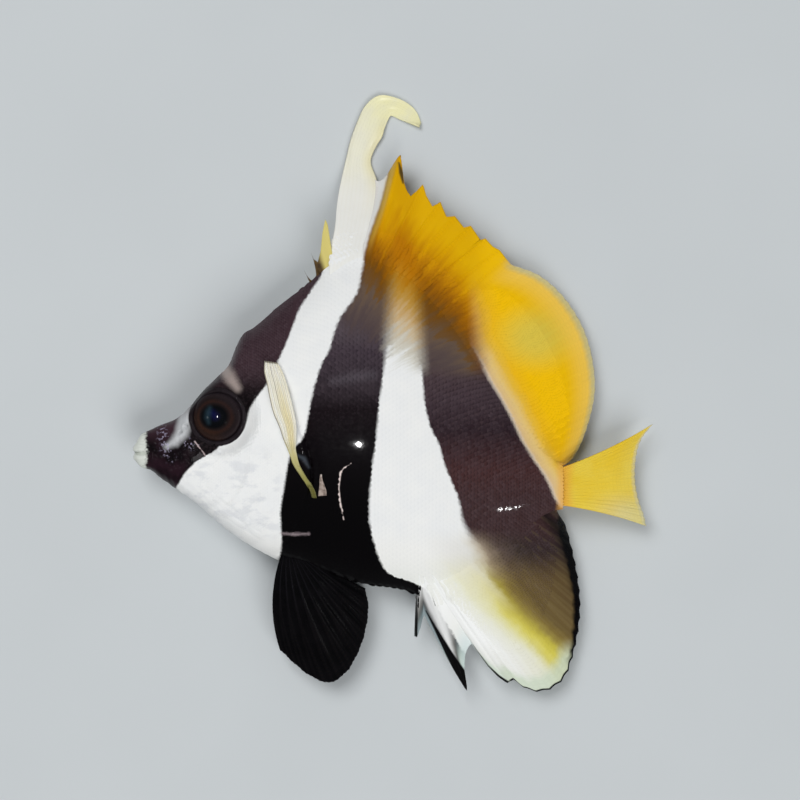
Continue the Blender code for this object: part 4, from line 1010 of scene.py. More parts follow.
# Banner: the fourth dorsal spine with its long white web, which bends down to the floor and over at the
# tip. Three short sharp spines stand in front of it.
BANNER_EDGES = [(0.0, -3.2, 27.6, 2.2, 29.6), (0.09, -3.0, 31.2, 2.6, 32.0), (0.18, -2.35, 34.9, 3.3, 35.2),
                (0.28, -2.0, 38.7, 4.1, 38.9), (0.38, -1.4, 42.4, 4.2, 42.3), (0.46, -0.6, 45.8, 3.2, 45.3),
                (0.53, 0.16, 48.9, 3.8, 47.3), (0.60, 1.2, 51.7, 4.9, 49.1), (0.68, 2.4, 54.1, 5.4, 50.6),
                (0.76, 4.4, 55.65, 5.9, 51.8), (0.84, 6.9, 55.4, 6.5, 52.5), (0.90, 8.9, 54.5, 7.8, 51.9),
                (0.96, 10.4, 53.0, 9.6, 51.25), (1.0, 11.0, 51.5, 10.8, 50.8)]
WEB_JOINS = 0.39
BANNER_FLOOR = 0.45
BANNER_COLUMNS, BANNER_ROWS = 33, 140
FIN_ROOT_SUNK = -3.0
FRONT_SPINES = [(0.0, -6.9, -7.1, 28.5), (1.0, -5.7, -6.1, 31.4), (1.15, -5.5, -5.7, 30.3),
                (1.5, -5.0, -5.0, 29.8), (1.7, -4.7, -4.55, 31.5), (1.85, -4.4, -4.3, 34.2),
                (1.95, -4.1, -3.95, 36.0), (2.0, -4.0, -3.8, 36.4), (2.08, -3.9, -3.45, 35.6),
                (2.25, -3.7, -3.35, 33.5), (2.5, -3.4, -3.5, 30.4)]
MARGIN_CLEAR = 2.6
FIN_SCALE_PITCH = ((3.0, 12.0), (0.74, 0.38))
FIN_SCALE_CALMNESS = 0.99
RAY_OUTPUTS = ("Ray", "Joint", "Number", "Reach", "Edge")
RIDGE_HEIGHT = 0.00006


def edge_points(points, x, out):
    """Places beside the body's back or belly edge, moved out of the body."""
    step = 0.2
    slope = (smooth(points, x + step) - smooth(points, x - step)) / (2 * step)
    side = 1.0 if points is BACK else -1.0
    normal = np.stack([-slope, np.ones_like(slope)], -1) / np.hypot(slope, 1.0)[..., None] * side
    return np.stack([x, smooth(points, x)], -1) + normal * out


def between_edges(edges, u, v):
    """A grid between two edges listed as (share, front x, front y, hind x, hind y)."""
    table = np.array(edges)
    front, hind = [np.stack([smooth(table[:, (0, k)], v) for k in pair], -1) for pair in ((1, 2), (3, 4))]
    return front[:, None] * (1 - u)[None, :, None] + hind[:, None] * u[None, :, None]


def at_height(flat, height):
    """A flat grid of places at these heights above the floor."""
    return np.concatenate([flat, np.broadcast_to(height, flat.shape[:2])[..., None]], -1)


def read_table(table, number):
    """The columns after a table's first, each read at these numbers of the first."""
    first, *others = np.array(table).T
    return [np.interp(number, first, column) for column in others]


def between(ends, share):
    return ends[0] + (ends[1] - ends[0]) * share


def runs(grid):
    """Distance of each grid point from the root, along its column."""
    steps = np.linalg.norm(np.diff(grid, axis=0), axis=2)
    return np.concatenate([np.zeros((1, grid.shape[1])), np.cumsum(steps, axis=0)])


def rooted(grid):
    """Plain thickness of a fin sheet that grows out of the body with a smooth swelling."""
    half = half_width(grid[0, :, 0], grid[0, :, 1])
    return 0.16 + 2 * (0.92 * half - 0.08)[None] * np.exp(-runs(grid) / 4.0)


def fin_scales(name, grid, thickness, reach, side):
    """Small scales over the root part of a fin sheet, as far along each column as reach says."""
    run = runs(grid)
    order = np.arange(grid.shape[1])
    limit = np.minimum(reach, run[-1] - MARGIN_CLEAR)
    outward = unit(grid_normals(grid).mean(axis=(0, 1)))
    outward = outward * side * np.sign(outward[2])

    def surface(distance):
        """The places on one face at this distance from the root, one for each column."""
        middle = np.stack([[np.interp(distance, run[:, c], grid[:, c, k]) for k in range(3)] for c in order])
        half = np.array([np.interp(distance, run[:, c], thickness[:, c]) / 2 for c in order])
        return middle + outward * half[:, None]

    found, distance, odd = [], 1.6, False
    while distance < limit.max():
        pitch = float(np.interp(distance, *FIN_SCALE_PITCH))
        line = surface(distance)
        tail = unit(surface(distance + 0.15) - line)
        normal = unit(np.cross(np.gradient(line, axis=0), tail))
        normal = normal * np.sign((normal * outward).sum(axis=1, keepdims=True))
        arc = np.concatenate([[0.0], np.cumsum(np.linalg.norm(np.diff(line, axis=0), axis=1))])
        at = np.arange(pitch * (0.3 + 0.5 * odd), arc[-1] - 0.2, pitch * COLUMN_STEP)
        column = np.interp(at + scale_random.normal(0, 0.03 * pitch, at.shape), arc, order)
        column = column[distance < np.interp(column, order, limit)]
        rows = [np.interp(column, order, values[:, k]) for values in (line, tail, normal) for k in range(3)]
        found.append(np.stack(rows + [np.full(column.shape, pitch)], -1))
        distance += pitch * ROW_STEP
        odd = not odd
    found = np.concatenate(found)
    base, tail, normal, pitch = found[:, :3], unit(found[:, 3:6]), unit(found[:, 6:9]), found[:, 9]
    shade = np.broadcast_to(outward, base.shape)
    spots = (base[:, :2] + (40, 45)) / 110
    coat = vane_mesh(name, base, tail, normal, shade, pitch, FIN_SCALE_CALMNESS, spots)


def fin_sheet(name, middle, thickness, number, branch, material, node_names):
    """A closed two-faced sheet from a grid of its middle surface, rows from root to margin.

    number counts the rays along the columns, branch says how far each ray parts into two."""
    rows, columns = middle.shape[:2]
    normal = grid_normals(middle)
    flip = normal[..., 2].mean() > 0
    normal = normal * np.sign(normal[..., 2:].mean())
    top = middle + normal * thickness[..., None] / 2
    low = middle - normal * thickness[..., None] / 2
    low[..., 2] = np.maximum(low[..., 2], 0.01)
    size = rows * columns
    upper = grid_faces(rows, columns, False)
    if flip:
        upper = [face[::-1] for face in upper]
    faces = list(upper) + [tuple(k + size for k in face[::-1]) for face in upper]
    ring = ([(0, c) for c in range(columns)] + [(r, columns - 1) for r in range(1, rows)]
            + [(rows - 1, c) for c in range(columns - 2, -1, -1)] + [(r, 0) for r in range(rows - 2, 0, -1)])
    order = [r * columns + c for r, c in ring]
    for a, b in zip(order, order[1:] + order[:1]):
        faces.append((a, b, b + size, a + size) if flip else (b, a, a + size, b + size))
    made = mesh_object(name, np.vstack([top.reshape(-1, 3), low.reshape(-1, 3)]), faces)
    run = runs(middle)
    reach = np.linspace(0, 1, rows)[:, None] + 0 * run
    counted = np.broadcast_to(number, run.shape)
    fin = np.stack([counted, reach, run[-1][None] - run], -1).reshape(-1, 3)
    keep(made.data, "fin", np.tile(fin, (2, 1)))
    keep(made.data, "branch", np.tile(np.broadcast_to(branch, run.shape).reshape(-1), 2))
    made.data.materials.append(material)
    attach(made, "root")
    if node_names:
        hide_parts(*node_names)


def ray_ridges(number, branch, v, width):
    """1 on a ray, 0 on the web between: rays stand at whole numbers and part in two towards the margin."""
    away = number - np.round(number)
    apart = branch * ease(v, 0.35, 0.95)
    return np.maximum(bump(away, apart, width), bump(away, -apart, width))


wires, given, result = shader_group("fin rays", [("Width", FLOAT)],
                                    [(output, FLOAT) for output in RAY_OUTPUTS])
number, reach, edge = wires.split(wires.read("fin", "Vector"))
away = wires.math("ABSOLUTE", wires.less(number, wires.math("ROUND", number)))
apart = wires.times(wires.step(reach, 0.35, 0.95), wires.read("branch", "Fac"))
ray = wires.step(wires.math("ABSOLUTE", wires.less(away, apart)), given.outputs["Width"],
                 wires.times(given.outputs["Width"], 0.25))
beat = wires.math("FRACT", wires.times(edge, 1.6))
joint = wires.times(wires.step(beat, 0.80, 0.92), wires.step(reach, 0.30, 0.45), ray)
for output, value in zip(RAY_OUTPUTS, (ray, joint, number, reach, edge)):
    wires.feed(result.inputs[output], value)


def fin_material(name, coat, colours, ray_width=0.2, ridge=0.35):
    """A fin's material: colours(wires, place, place_mm, rays) gives its colour and its opacity."""
    made, wires, shader = new_material(name, ior=1.33, coat_roughness=0.18, coat_ior=1.33,
                                       specular_ior_level=0.1)
    place = wires.own_place()
    rays = wires.group("fin rays", {"Width": ray_width})
    film = wires.group("wet film", {"Place": place, "Grain": 700.0, "Height": 0.00012})
    colour, opaque = colours(wires, place, wires.scaled(place, IN_MM), rays)
    shade = wires.mix(wires.times(rays["Joint"], 0.08), colour, (60, 44, 20))
    wires.feed(shader.inputs["Base Color"], shade)
    wires.feed(shader.inputs["Roughness"], wires.straight(film["Rough"], 0.0, 1.0,0.36, 0.6))
    wires.feed(shader.inputs["Coat Weight"], wires.step(rays["Ray"], 0.0, 1.0, coat, coat * 0.6))
    wires.feed(shader.inputs["Alpha"], opaque)
    ridges = wires.less(rays["Ray"], wires.times(rays["Joint"], 0.5))
    wires.feed(shader.inputs["Normal"], wires.raised(ridges, ridge, RIDGE_HEIGHT, Normal=film["Normal"]))
    return made


def banner_web(wires, place, place_mm, rays):
    cloud = wires.noise(place_mm, 0.4, 3.0)
    colour = wires.mix(wires.step(rays["Reach"], 0.10, 0.60), (232, 232, 227), (232, 230, 208))
    colour = wires.mix(wires.step(rays["Reach"], 0.50, 0.80), colour, (236, 232, 184))
    colour = wires.mix(wires.step(cloud, 0.35, 0.7, 0.0, 0.3), colour, (218, 218, 208))
    hind = wires.times(wires.step(rays["Number"], 4.5, 9.0), wires.step(rays["Reach"], 0.80, 0.60),
                       wires.step(rays["Reach"], 0.18, 0.34))
    colour = wires.mix(wires.times(hind, 0.55), colour, (232, 222, 164))
    # Painted light: the web is lightened near its root to make up for the shade that falls on it where it
    # slopes down from the body.
    lightened_foot = wires.step(rays["Reach"], 0.45, 0.30)
    colour = wires.mix(wires.times(lightened_foot, 0.6), colour, (244, 244, 240))
    colour = wires.mix(wires.times(rays["Ray"], 0.05), colour, (196, 188, 156))
    return colour, wires.step(rays["Edge"], 0.0, 1.0, 0.9, 1.0)


banner_material = fin_material("banner web", 0.45, banner_web, 0.3, 0.12)
u, v = np.linspace(0, 1, BANNER_COLUMNS), np.linspace(0, 1, BANNER_ROWS)
flat = between_edges(BANNER_EDGES, u, v)
half = half_width(flat[0, :, 0], flat[0, :, 1])
banner_thick = 0.30 + (0.4 - 0.28 * v[:, None]) * (1 - u)[None] ** 3
banner_thick = banner_thick + 2 * np.maximum(0.92 * half - 0.25, 0)[None] * np.exp(-runs(flat) / 3.5)
banner_thick = banner_thick + 0.03 * bump((u[None] * 9) % 1.0, 0.5, 0.25) * (1 - v[:, None])
height = MID_HEIGHT + (banner_thick / 2 + 0.02 - MID_HEIGHT) * ease(v, 0.0, BANNER_FLOOR)[:, None]
curl = 0.7 * ease(v, 0.86, 1.0)[:, None] * u[None] ** 2 + 0.35 * bump(v, 0.62, 0.08)[:, None] * u[None] ** 2
ripple = 0.16 * np.sin(u[None] * 7 + v[:, None] * 5)
ripple = ripple * ease(v, 0.1, 0.5)[:, None] * bump(v, 0.55, 0.35)[:, None]
height = height + curl + np.maximum(ripple, -0.05)
farther = (CAMERA_HEIGHT + MID_HEIGHT - height)[..., None] / CAMERA_HEIGHT
flat = np.array(view_centre) + (flat - np.array(view_centre)) * farther
banner_grid = at_height(flat, height)
fin_sheet("banner_web", banner_grid, banner_thick, u * 9, 0.0, banner_material,
          ["banner", "banner_tip"])
for side, word in SIDES:
    fin_scales(f"banner_scales_{word}", banner_grid, banner_thick, 6.0, side)


def brown_spines(wires, place, place_mm, rays):
    blur = wires.noise(place_mm, 1.2, 3.0)
    colour = wires.mix(wires.step(blur, 0.3, 0.7), (62, 46, 28), (98, 76, 42))
    colour = wires.mix(wires.step(rays["Number"], 1.50, 1.75), colour, (214, 200, 120))
    root = wires.times(wires.step(rays["Reach"], 0.45, 0.15), wires.step(rays["Number"], 1.9, 1.0))
    colour = wires.mix(root, colour, (60, 46, 50))
    return colour, wires.step(rays["Ray"], 0.0, 1.0, 0.95, 1.0)


front_material = fin_material("front spine skin", 0.4, brown_spines)
number, v = np.linspace(0, FRONT_SPINES[-1][0], 121), np.linspace(0, 1, 40)[:, None]
root_x, tip_x, tip_y = read_table(FRONT_SPINES, number)
root = edge_points(BACK, root_x, FIN_ROOT_SUNK)
tip = np.stack([tip_x, tip_y], -1)
from_spine = np.abs(number - np.round(number)) * 2
dip = np.where(number < 1, 0.62 * np.clip(from_spine, 0, 1) ** 0.42, 0.0)
flat = root[None] + (tip - root)[None] * (v * (1 - dip)[None])[..., None]
front_grid = at_height(flat, MID_HEIGHT)
on_spine = bump(from_spine, 0.0, 0.3)[None] * (1 - 0.8 * v)
thickness = 0.16 + 1.2 * np.exp(-runs(front_grid) / 1.5) + 0.4 * on_spine
fin_sheet("front_spine_row", front_grid, thickness, number, 0.0, front_material,
          ["front_spines"])


# Dorsal fin: behind the banner eight spines joined by amber web, then the soft part with branched rays and
# a clear margin, all one sheet. Its first web is fixed along the hind edge of the banner.
SPINY_ROOTS = (3.73, 15.4)
SPINY_MARGIN = [(0.0, 7.85, 46.5), (0.12, 8.1, 44.6), (0.28, 8.35, 42.4), (0.42, 8.8, 41.0),
                (0.55, 9.45, 40.1), (0.8, 10.5, 41.0), (1.0, 11.35, 41.9), (1.2, 11.85, 40.2),
                (1.5, 12.8, 38.5), (1.8, 13.6, 38.9), (2.0, 14.05, 39.2), (2.5, 15.0, 36.9),
                (3.0, 16.3, 37.0), (3.5, 17.7, 35.25), (4.0, 18.8, 35.5), (4.5, 20.3, 33.3),
                (5.0, 21.1, 33.5), (5.5, 22.2, 32.3), (6.0, 23.3, 31.7), (7.0, 24.3, 30.4)]
SPINE_END = [(7.6, 45.3, 0.12), (7.95, 43.8, 0.34), (8.25, 42.2, 0.14)]
SOFT_ROOTS = (16.2, 31.9)
SOFT_MARGIN = [(25.0, 29.6), (29.4, 28.0), (33.3, 24.7), (36.1, 20.5), (37.8, 15.5), (38.3, 10.1),
               (37.4, 5.4), (35.9, 1.6), (34.6, -0.4)]
SOFT_RAYS, BRANCH = 24, 0.22
SPINY_DROOP, SOFT_DROOP = 1.2, 3.4
FIN_ROWS = 64


def soft_columns(root, margin, rays, per_ray, first_number, wave=0.10):
    """Root and margin points of a row of soft rays, with a slightly wavy margin."""
    u = np.linspace(0, 1, (rays - 1) * per_ray + 1)
    start, stop = root(u), margin(u)
    line = stop - start
    wavy = wave * np.abs(np.sin(np.pi * u * (rays - 1)))
    stop = stop - line / np.linalg.norm(line, axis=1, keepdims=True) * wavy[:, None]
    return first_number + u * (rays - 1), start, stop


def bridge(first, second, columns):
    """A few columns between two parts of a fin."""
    share = np.linspace(0, 1, columns + 2)[1:-1]
    return [a[-1:] + (b[:1] - a[-1:]) * (share[:, None] if a.ndim == 2 else share)
            for a, b in zip(first, second)]


def joined(parts):
    """The parts of a fin in one row: ray numbers, root points and margin points."""
    return [np.concatenate(pieces) for pieces in zip(*parts)]


def amber_web(wires, place, place_mm, rays):
    colour = wires.group("band markings", {"Place": place, "Fray": 0.3})["Colour"]
    soft = wires.step(rays["Number"], 6.5, 9.5)
    colour = wires.mix(wires.times(rays["Ray"], 0.09), colour, (184, 118, 2))
    x, y = wires.flat_place(place_mm)
    spine_end = wires.stroke(x, y, SPINE_END, 0.18)
    colour = wires.mix(wires.times(spine_end, 0.9), colour, (46, 40, 30))
    paler = wires.times(wires.step(rays["Edge"], 5.5, 1.0), soft)
    colour = wires.mix(wires.times(paler, 0.6), colour, (244, 206, 104))
    margin = wires.times(wires.step(rays["Edge"], 1.6, 0.3), soft)
    margin = wires.times(margin, wires.step(y, -1.0, 12.0, 0.55, 1.0))
    colour = wires.mix(margin, colour, (228, 212, 136))
    rim = wires.times(wires.step(rays["Edge"], 0.16, 0.06), soft)
    colour = wires.mix(wires.times(rim, 0.5), colour, (236, 236, 226))
    opaque = wires.less(wires.step(rays["Ray"], 0.0, 1.0, 0.93, 0.97), wires.times(margin, 0.45))
    return colour, opaque


number = np.linspace(0, SPINY_MARGIN[-1][0], 141)
root = edge_points(BACK, np.interp(number, (0.0, SPINY_MARGIN[-1][0]), SPINY_ROOTS), FIN_ROOT_SUNK)
spiny_part = [number, root, np.stack(read_table(SPINY_MARGIN, number), -1)]
soft_part = soft_columns(lambda u: edge_points(BACK, between(SOFT_ROOTS, u), FIN_ROOT_SUNK),
                         lambda u: along(SOFT_MARGIN, u), SOFT_RAYS, 10, 8.0)
number, root, stop = joined([spiny_part, bridge(spiny_part, soft_part, 6), soft_part])
v = np.linspace(0, 1, FIN_ROWS)[:, None]
flat = root[None] + (stop - root)[None] * v[..., None]
droop = SPINY_DROOP + (SOFT_DROOP - SPINY_DROOP) * ease(number, 3.0, 16.0)
height = MID_HEIGHT - droop[None] * v ** 1.7 + 0.20 * np.sin(number * 1.1)[None] * v ** 2
dorsal_grid = at_height(flat, height)

banner_share = np.linspace(0, 1, BANNER_ROWS)
beside_banner = banner_grid[:, -3].T
banner_rows = np.stack([np.interp(v[:, 0] * WEB_JOINS, banner_share, line) for line in beside_banner], -1)
lead_share = np.linspace(0, 1, 14)[:-1]
lead_grid = (banner_rows[:, None] * (1 - lead_share)[None, :, None]
             + dorsal_grid[:, :1] * lead_share[None, :, None])
lift = ((lead_share * (1 - lead_share) ** 2)[None] * v ** 3)[..., None] * np.array((1.0, -8.0, 0.0))
lead_grid = lead_grid + lift
dorsal_grid = np.concatenate([lead_grid, dorsal_grid], axis=1)
number = np.concatenate([lead_share - 1, number])
branch = BRANCH * ease(number, 7.0, 8.0)
spiny = 1 - ease(number, 7.0, 8.0)
ridges = ray_ridges(number[None], branch[None], v, 0.13) * (number > -0.5)[None]
thickness = rooted(dorsal_grid) + ridges * ((0.30 - 0.20 * v) * spiny[None] + 0.06 * (1 - spiny[None]))
amber_material = fin_material("dorsal web", 0.4, amber_web, 0.22, 0.14)
fin_sheet("dorsal_web", dorsal_grid, thickness, number, branch, amber_material,
          ["dorsal_fin_spiny", "dorsal_fin_soft"])
scaled = 5.8 + (0.66 * runs(dorsal_grid)[-1] - 5.8) * ease(number, 6.0, 9.5)
for side, word in SIDES:
    fin_scales(f"dorsal_scales_{word}", dorsal_grid, thickness, scaled, side)


# Anal fin: three stout spines with dark hind edges, then a rounded soft part that runs from white
# through yellow to dark brown, with a pale lower border and a black hind border.
ANAL_SPINES = [(0.0, 9.8, 10.2, -28.5), (0.12, 10.1, 10.65, -27.2), (0.22, 10.25, 10.9, -25.9),
               (0.35, 10.4, 11.25, -25.0), (0.5, 10.6, 11.6, -24.3), (0.62, 10.75, 12.8, -27.0),
               (0.75, 11.0, 14.4, -30.4), (0.88, 11.2, 16.3, -33.8), (1.0, 11.4, 18.2, -36.9),
               (1.1, 11.7, 17.75, -33.7), (1.22, 12.0, 17.9, -31.3), (1.38, 12.4, 18.4, -30.1),
               (1.5, 12.7, 18.95, -29.5), (1.65, 13.0, 20.0, -30.9), (1.8, 13.3, 21.6, -33.2),
               (1.92, 13.5, 23.2, -34.8), (2.0, 13.7, 24.5, -35.7)]
ANAL_ROOTS = (14.6, 31.3)
ANAL_MARGIN = [(25.5, -35.2), (26.8, -36.3), (28.0, -36.9), (29.2, -37.2), (30.8, -37.0), (32.4, -36.2),
               (33.7, -34.8), (34.6, -32.6), (35.3, -30.0), (35.9, -26.1), (36.0, -23.2), (35.6, -19.4),
               (34.3, -13.9), (33.2, -11.0), (31.9, -9.7)]
ANAL_RAYS = 18
ANAL_SPINE_DROOP = 1.6
ANAL_DARK = [[(10.25, -22.6, 0.12), (10.2, -25.6, 0.34), (10.3, -28.6, 0.2)],
             [(11.8, -24.4, 0.08), (13.3, -27.2, 0.25), (15.3, -30.9, 0.55), (17.1, -34.0, 0.8),
              (18.2, -37.2, 0.5)],
             [(19.1, -29.7, 0.02), (21.5, -33.0, 0.1), (23.1, -34.6, 0.2), (24.6, -35.8, 0.35)]]
ANAL_CORNER = [(30.4, -9.6, 0.6), (33.4, -12.6, 1.3), (34.8, -17.0, 1.1), (35.4, -21.0, 0.7)]


def anal_web(wires, place, place_mm, rays):
    blur = wires.noise(place_mm, 0.8, 3.0)
    colour = wires.group("band markings", {"Place": place, "Fray": 0.8})["Colour"]
    colour = wires.mix(wires.times(rays["Ray"], 0.08), colour, (150, 138, 96))
    soft = wires.step(rays["Number"], 2.05, 2.6)
    x, y = wires.flat_place(place_mm)
    edge = wires.add(rays["Edge"], wires.wobble(blur, 1.2))
    hindward = wires.step(y, -33.5, -30.5)
    lower = wires.times(wires.step(edge, 3.8, 1.4), wires.step(y, -28.5, -32.5))
    colour = wires.mix(wires.times(lower, 0.85), colour, (206, 218, 196))
    front = wires.times(wires.step(rays["Number"], 6.0, 2.5), wires.step(edge, 2.0, 9.0))
    colour = wires.mix(wires.times(front, 0.8), colour, (250, 251, 250))
    spiny_web = wires.times(wires.step(rays["Number"], 2.4, 1.2), wires.step(rays["Edge"], 4.5, 0.4))
    colour = wires.mix(wires.times(spiny_web, 0.6), colour, (204, 222, 226))
    black_width = wires.straight(y, -31.0, -12.0, 0.55, 2.5)
    black = wires.step(edge, wires.add(black_width, 0.6), wires.less(black_width, 0.4))
    colour = wires.mix(wires.times(black, hindward, soft), colour, (6, 5, 7))
    corner = wires.stroke(x, y, ANAL_CORNER, 1.0)
    colour = wires.mix(wires.times(corner, 0.8), colour, (12, 13, 15))
    outline = wires.times(wires.step(rays["Edge"], 0.40, 0.18), soft)
    colour = wires.mix(outline, colour, (12, 13, 18))
    for spine in ANAL_DARK:
        colour = wires.mix(wires.stroke(x, y, spine, 0.12), colour, (8, 8, 10))
    return colour, wires.step(rays["Ray"], 0.0, 1.0, 0.96, 1.0)


number = np.linspace(0, 2, 97)
root_x, tip_x, tip_y = read_table(ANAL_SPINES, number)
spiny_part = [number, edge_points(BELLY, root_x, FIN_ROOT_SUNK), np.stack([tip_x, tip_y], -1)]
soft_part = soft_columns(lambda u: edge_points(BELLY, between(ANAL_ROOTS, u), FIN_ROOT_SUNK),
                         lambda u: along(ANAL_MARGIN, u), ANAL_RAYS, 12, 3.0, 0.26)
number, root, stop = joined([spiny_part, bridge(spiny_part, soft_part, 6), soft_part])
flat = root[None] + (stop - root)[None] * v[..., None]
droop = ANAL_SPINE_DROOP + (SOFT_DROOP - ANAL_SPINE_DROOP) * ease(number, 1.0, 9.0)
height = MID_HEIGHT - droop[None] * v ** 1.7 + 0.18 * np.sin(number * 1.2)[None] * v ** 2
anal_grid = at_height(flat, height)
branch = BRANCH * ease(number, 2.0, 3.0)
spiny = 1 - ease(number, 2.0, 3.0)
ridges = ray_ridges(number[None], branch[None], v, 0.13)
thickness = rooted(anal_grid) + ridges * ((0.50 - 0.32 * v) * spiny[None] + 0.06 * (1 - spiny[None]))
anal_material = fin_material("anal web", 0.22, anal_web, 0.22, 0.12)
fin_sheet("anal_web", anal_grid, thickness, number, branch, anal_material,
          ["anal_spines", "anal_fin_soft"])
scaled = 4.8 + (0.66 * runs(anal_grid)[-1] - 4.8) * ease(number, 2.0, 4.5)
for side, word in SIDES:
    fin_scales(f"anal_scales_{word}", anal_grid, thickness, scaled, side)


# Tail fin: a clear yellow fan, slightly hollow behind, on seventeen branched rays. It grows out of the end
# of the stalk and droops towards the floor.
TAIL_ROOT = [(32.3, -2.3), (32.4, -5.1), (32.3, -7.9)]
TAIL_MARGIN = [(47.2, 4.6), (45.4, 2.2), (44.6, -1.0), (44.5, -4.2), (45.1, -7.4), (45.9, -9.8),
               (46.2, -11.3)]
TAIL_RAYS, TAIL_DROOP, TAIL_BOW = 17, 2.4, 0.22


def tail_web(wires, place, place_mm, rays):
    blotch = wires.noise(place_mm, 0.18, 2.0)
    x, y = wires.flat_place(place_mm)
    colour = wires.mix(wires.step(blotch, 0.35, 0.65), (238, 203, 54), (240, 211, 76))
    colour = wires.mix(wires.step(rays["Reach"], 0.22, 0.06), colour, (240, 184, 70))
    corner = wires.times(wires.step(y, -5.0, -9.5), wires.step(x, 36.0, 44.0))
    colour = wires.mix(wires.times(corner, 0.8), colour, (224, 216, 162))
    colour = wires.mix(wires.step(rays["Edge"], 5.0, 0.8, 0.0, 0.3), colour, (226, 212, 112))
    colour = wires.mix(wires.times(rays["Ray"], 0.06), colour, (196, 148, 10))
    margin = wires.step(rays["Edge"], 0.9, 0.1)
    colour = wires.mix(wires.times(margin, 0.5), colour, (232, 228, 190))
    return colour, wires.less(wires.step(rays["Ray"], 0.0, 1.0, 0.90, 0.96), wires.times(margin, 0.35))


number, root, stop = soft_columns(lambda u: along(TAIL_ROOT, u), lambda u: along(TAIL_MARGIN, u),
                                  TAIL_RAYS, 12, 0.0)
line = stop - root
aside = np.stack([line[:, 1], -line[:, 0]], -1)
bow = TAIL_BOW * (0.5 - number / (TAIL_RAYS - 1))
flat = root[None] + line[None] * v[..., None] + aside[None] * (bow[None] * v * (1 - v))[..., None]
height = MID_HEIGHT - TAIL_DROOP * v ** 1.6 + 0.15 * np.sin(number * 0.9)[None] * v ** 2
ridges = ray_ridges(number[None], BRANCH, v, 0.15)
thickness = 0.13 + 1.7 * (1 - v) ** 6 + 0.5 * (1 - v) ** 2 + 0.08 * ridges
tail_material = fin_material("tail web", 0.4, tail_web, 0.22, 0.14)
fin_sheet("tail_web", at_height(flat, height), thickness, number, BRANCH, tail_material,
          ["tail_fin"])


# Pelvic fins: broad black fans, each with a stout spine in front and branched rays behind it. They hang from
# the belly, the left one over the right one.
PELVIC_ROOTS, PELVIC_SUNK = (-11.0, -7.0), -1.4
PELVIC_MARGIN = [(-10.9, -30.7), (-8.6, -32.9), (-5.9, -34.9), (-3.1, -35.8), (-0.8, -34.4), (1.1, -31.5),
                 (2.5, -27.4), (2.9, -23.6), (2.4, -21.0)]
PELVIC_RAYS, PELVIC_APART, PELVIC_BOW = 11, 1.0, 0.34


def black_web(wires, place, place_mm, rays):
    blur = wires.noise(place_mm, 0.5, 4.0)
    colour = wires.mix(wires.step(blur, 0.3, 0.7), (4, 4, 5), (8, 7, 9))
    near_root = wires.step(rays["Reach"], 0.60, 0.10, 0.06, 0.30)
    colour = wires.mix(wires.times(rays["Ray"], near_root), colour, (36, 34, 40))
    colour = wires.mix(wires.step(rays["Edge"], 0.25, 0.05, 0.0, 0.3), colour, (50, 46, 50))
    return colour, wires.step(rays["Ray"], 0.0, 1.0, 0.985, 1.0)


black_material = fin_material("pelvic web", 0.12, black_web, 0.16, 0.2)
for word, sign, turn, droop in (("left", 1, 0.0, 3.0), ("right", -1, -0.02, 4.6)):
    number, root, stop = soft_columns(lambda u: edge_points(BELLY, between(PELVIC_ROOTS, u), PELVIC_SUNK),
                                      lambda u: along(PELVIC_MARGIN, u), PELVIC_RAYS, 12, 0.0)
    u = number / (PELVIC_RAYS - 1)
    saw = 0.12 * np.abs(np.sin(np.pi * u * 34))
    line = stop - root
    line = line * (1 - saw / np.linalg.norm(line, axis=1))[:, None]
    aside = np.stack([line[:, 1], -line[:, 0]], -1)
    bow = PELVIC_BOW * (1 - u) ** 2 * v * (1 - v)
    flat = root[None] + line[None] * v[..., None] + aside[None] * bow[..., None]
    pivot = edge_points(BELLY, np.array(PELVIC_ROOTS[0]), 0.3)
    off = flat - pivot
    swung = np.stack([off[..., 0] * math.cos(turn) - off[..., 1] * math.sin(turn),
                      off[..., 0] * math.sin(turn) + off[..., 1] * math.cos(turn)], -1) + pivot
    pleat = 0.04 * np.cos(2 * np.pi * number)[None] * ease(v, 0.1, 0.8)
    height = MID_HEIGHT + sign * PELVIC_APART - droop * ease(v, 0.0, 1.15) + pleat
    ridges = ray_ridges(number[None], BRANCH, v, 0.13)
    spine = bump(u, 0.0, 0.025)[None] * (1 - 0.6 * v)
    thickness = 0.16 + 0.6 * (1 - v) ** 3 + (0.16 - 0.10 * v) * ridges + 0.35 * spine
    fin_sheet(f"pelvic_web_{word}", at_height(swung, height), thickness, number, BRANCH, black_material,
              [f"pelvic_fin_{word}"])


# Pectoral fins: clear fans folded up like paper. The left one lies forward over the gill cover, the right
# one is caught flat under the flank. A small pale fold of skin stands behind the root.
LEFT_EDGES = [(0.0, -5.7, -6.5, -5.0, -6.6), (0.04, -5.9, -5.7, -5.2, -5.7), (0.16, -7.25, -3.4, -6.6, -3.4),
              (0.27, -8.6, -1.2, -7.75, -1.2), (0.32, -8.95, -0.15, -8.0, -0.15),
              (0.37, -9.4, 0.95, -8.2, 0.95), (0.42, -9.9, 2.1, -8.1, 2.1), (0.53, -10.7, 4.4, -8.05, 4.4),
              (0.63, -11.6, 6.5, -8.4, 6.5), (0.73, -12.15, 8.7, -8.95, 8.7),
              (0.84, -12.6, 10.9, -9.55, 10.9), (0.94, -13.05, 12.9, -10.3, 12.9),
              (1.0, -13.0, 14.4, -11.0, 14.1)]
RIGHT_EDGES = [(0.0, -4.9, -5.4, -4.6, -6.8), (0.2, -1.0, -5.9, -1.0, -7.2), (0.45, 3.0, -5.2, 3.0, -7.7),
               (0.7, 8.0, -5.3, 8.0, -8.3), (0.9, 12.5, -6.4, 12.4, -9.1), (1.0, 15.2, -7.9, 15.0, -9.5)]
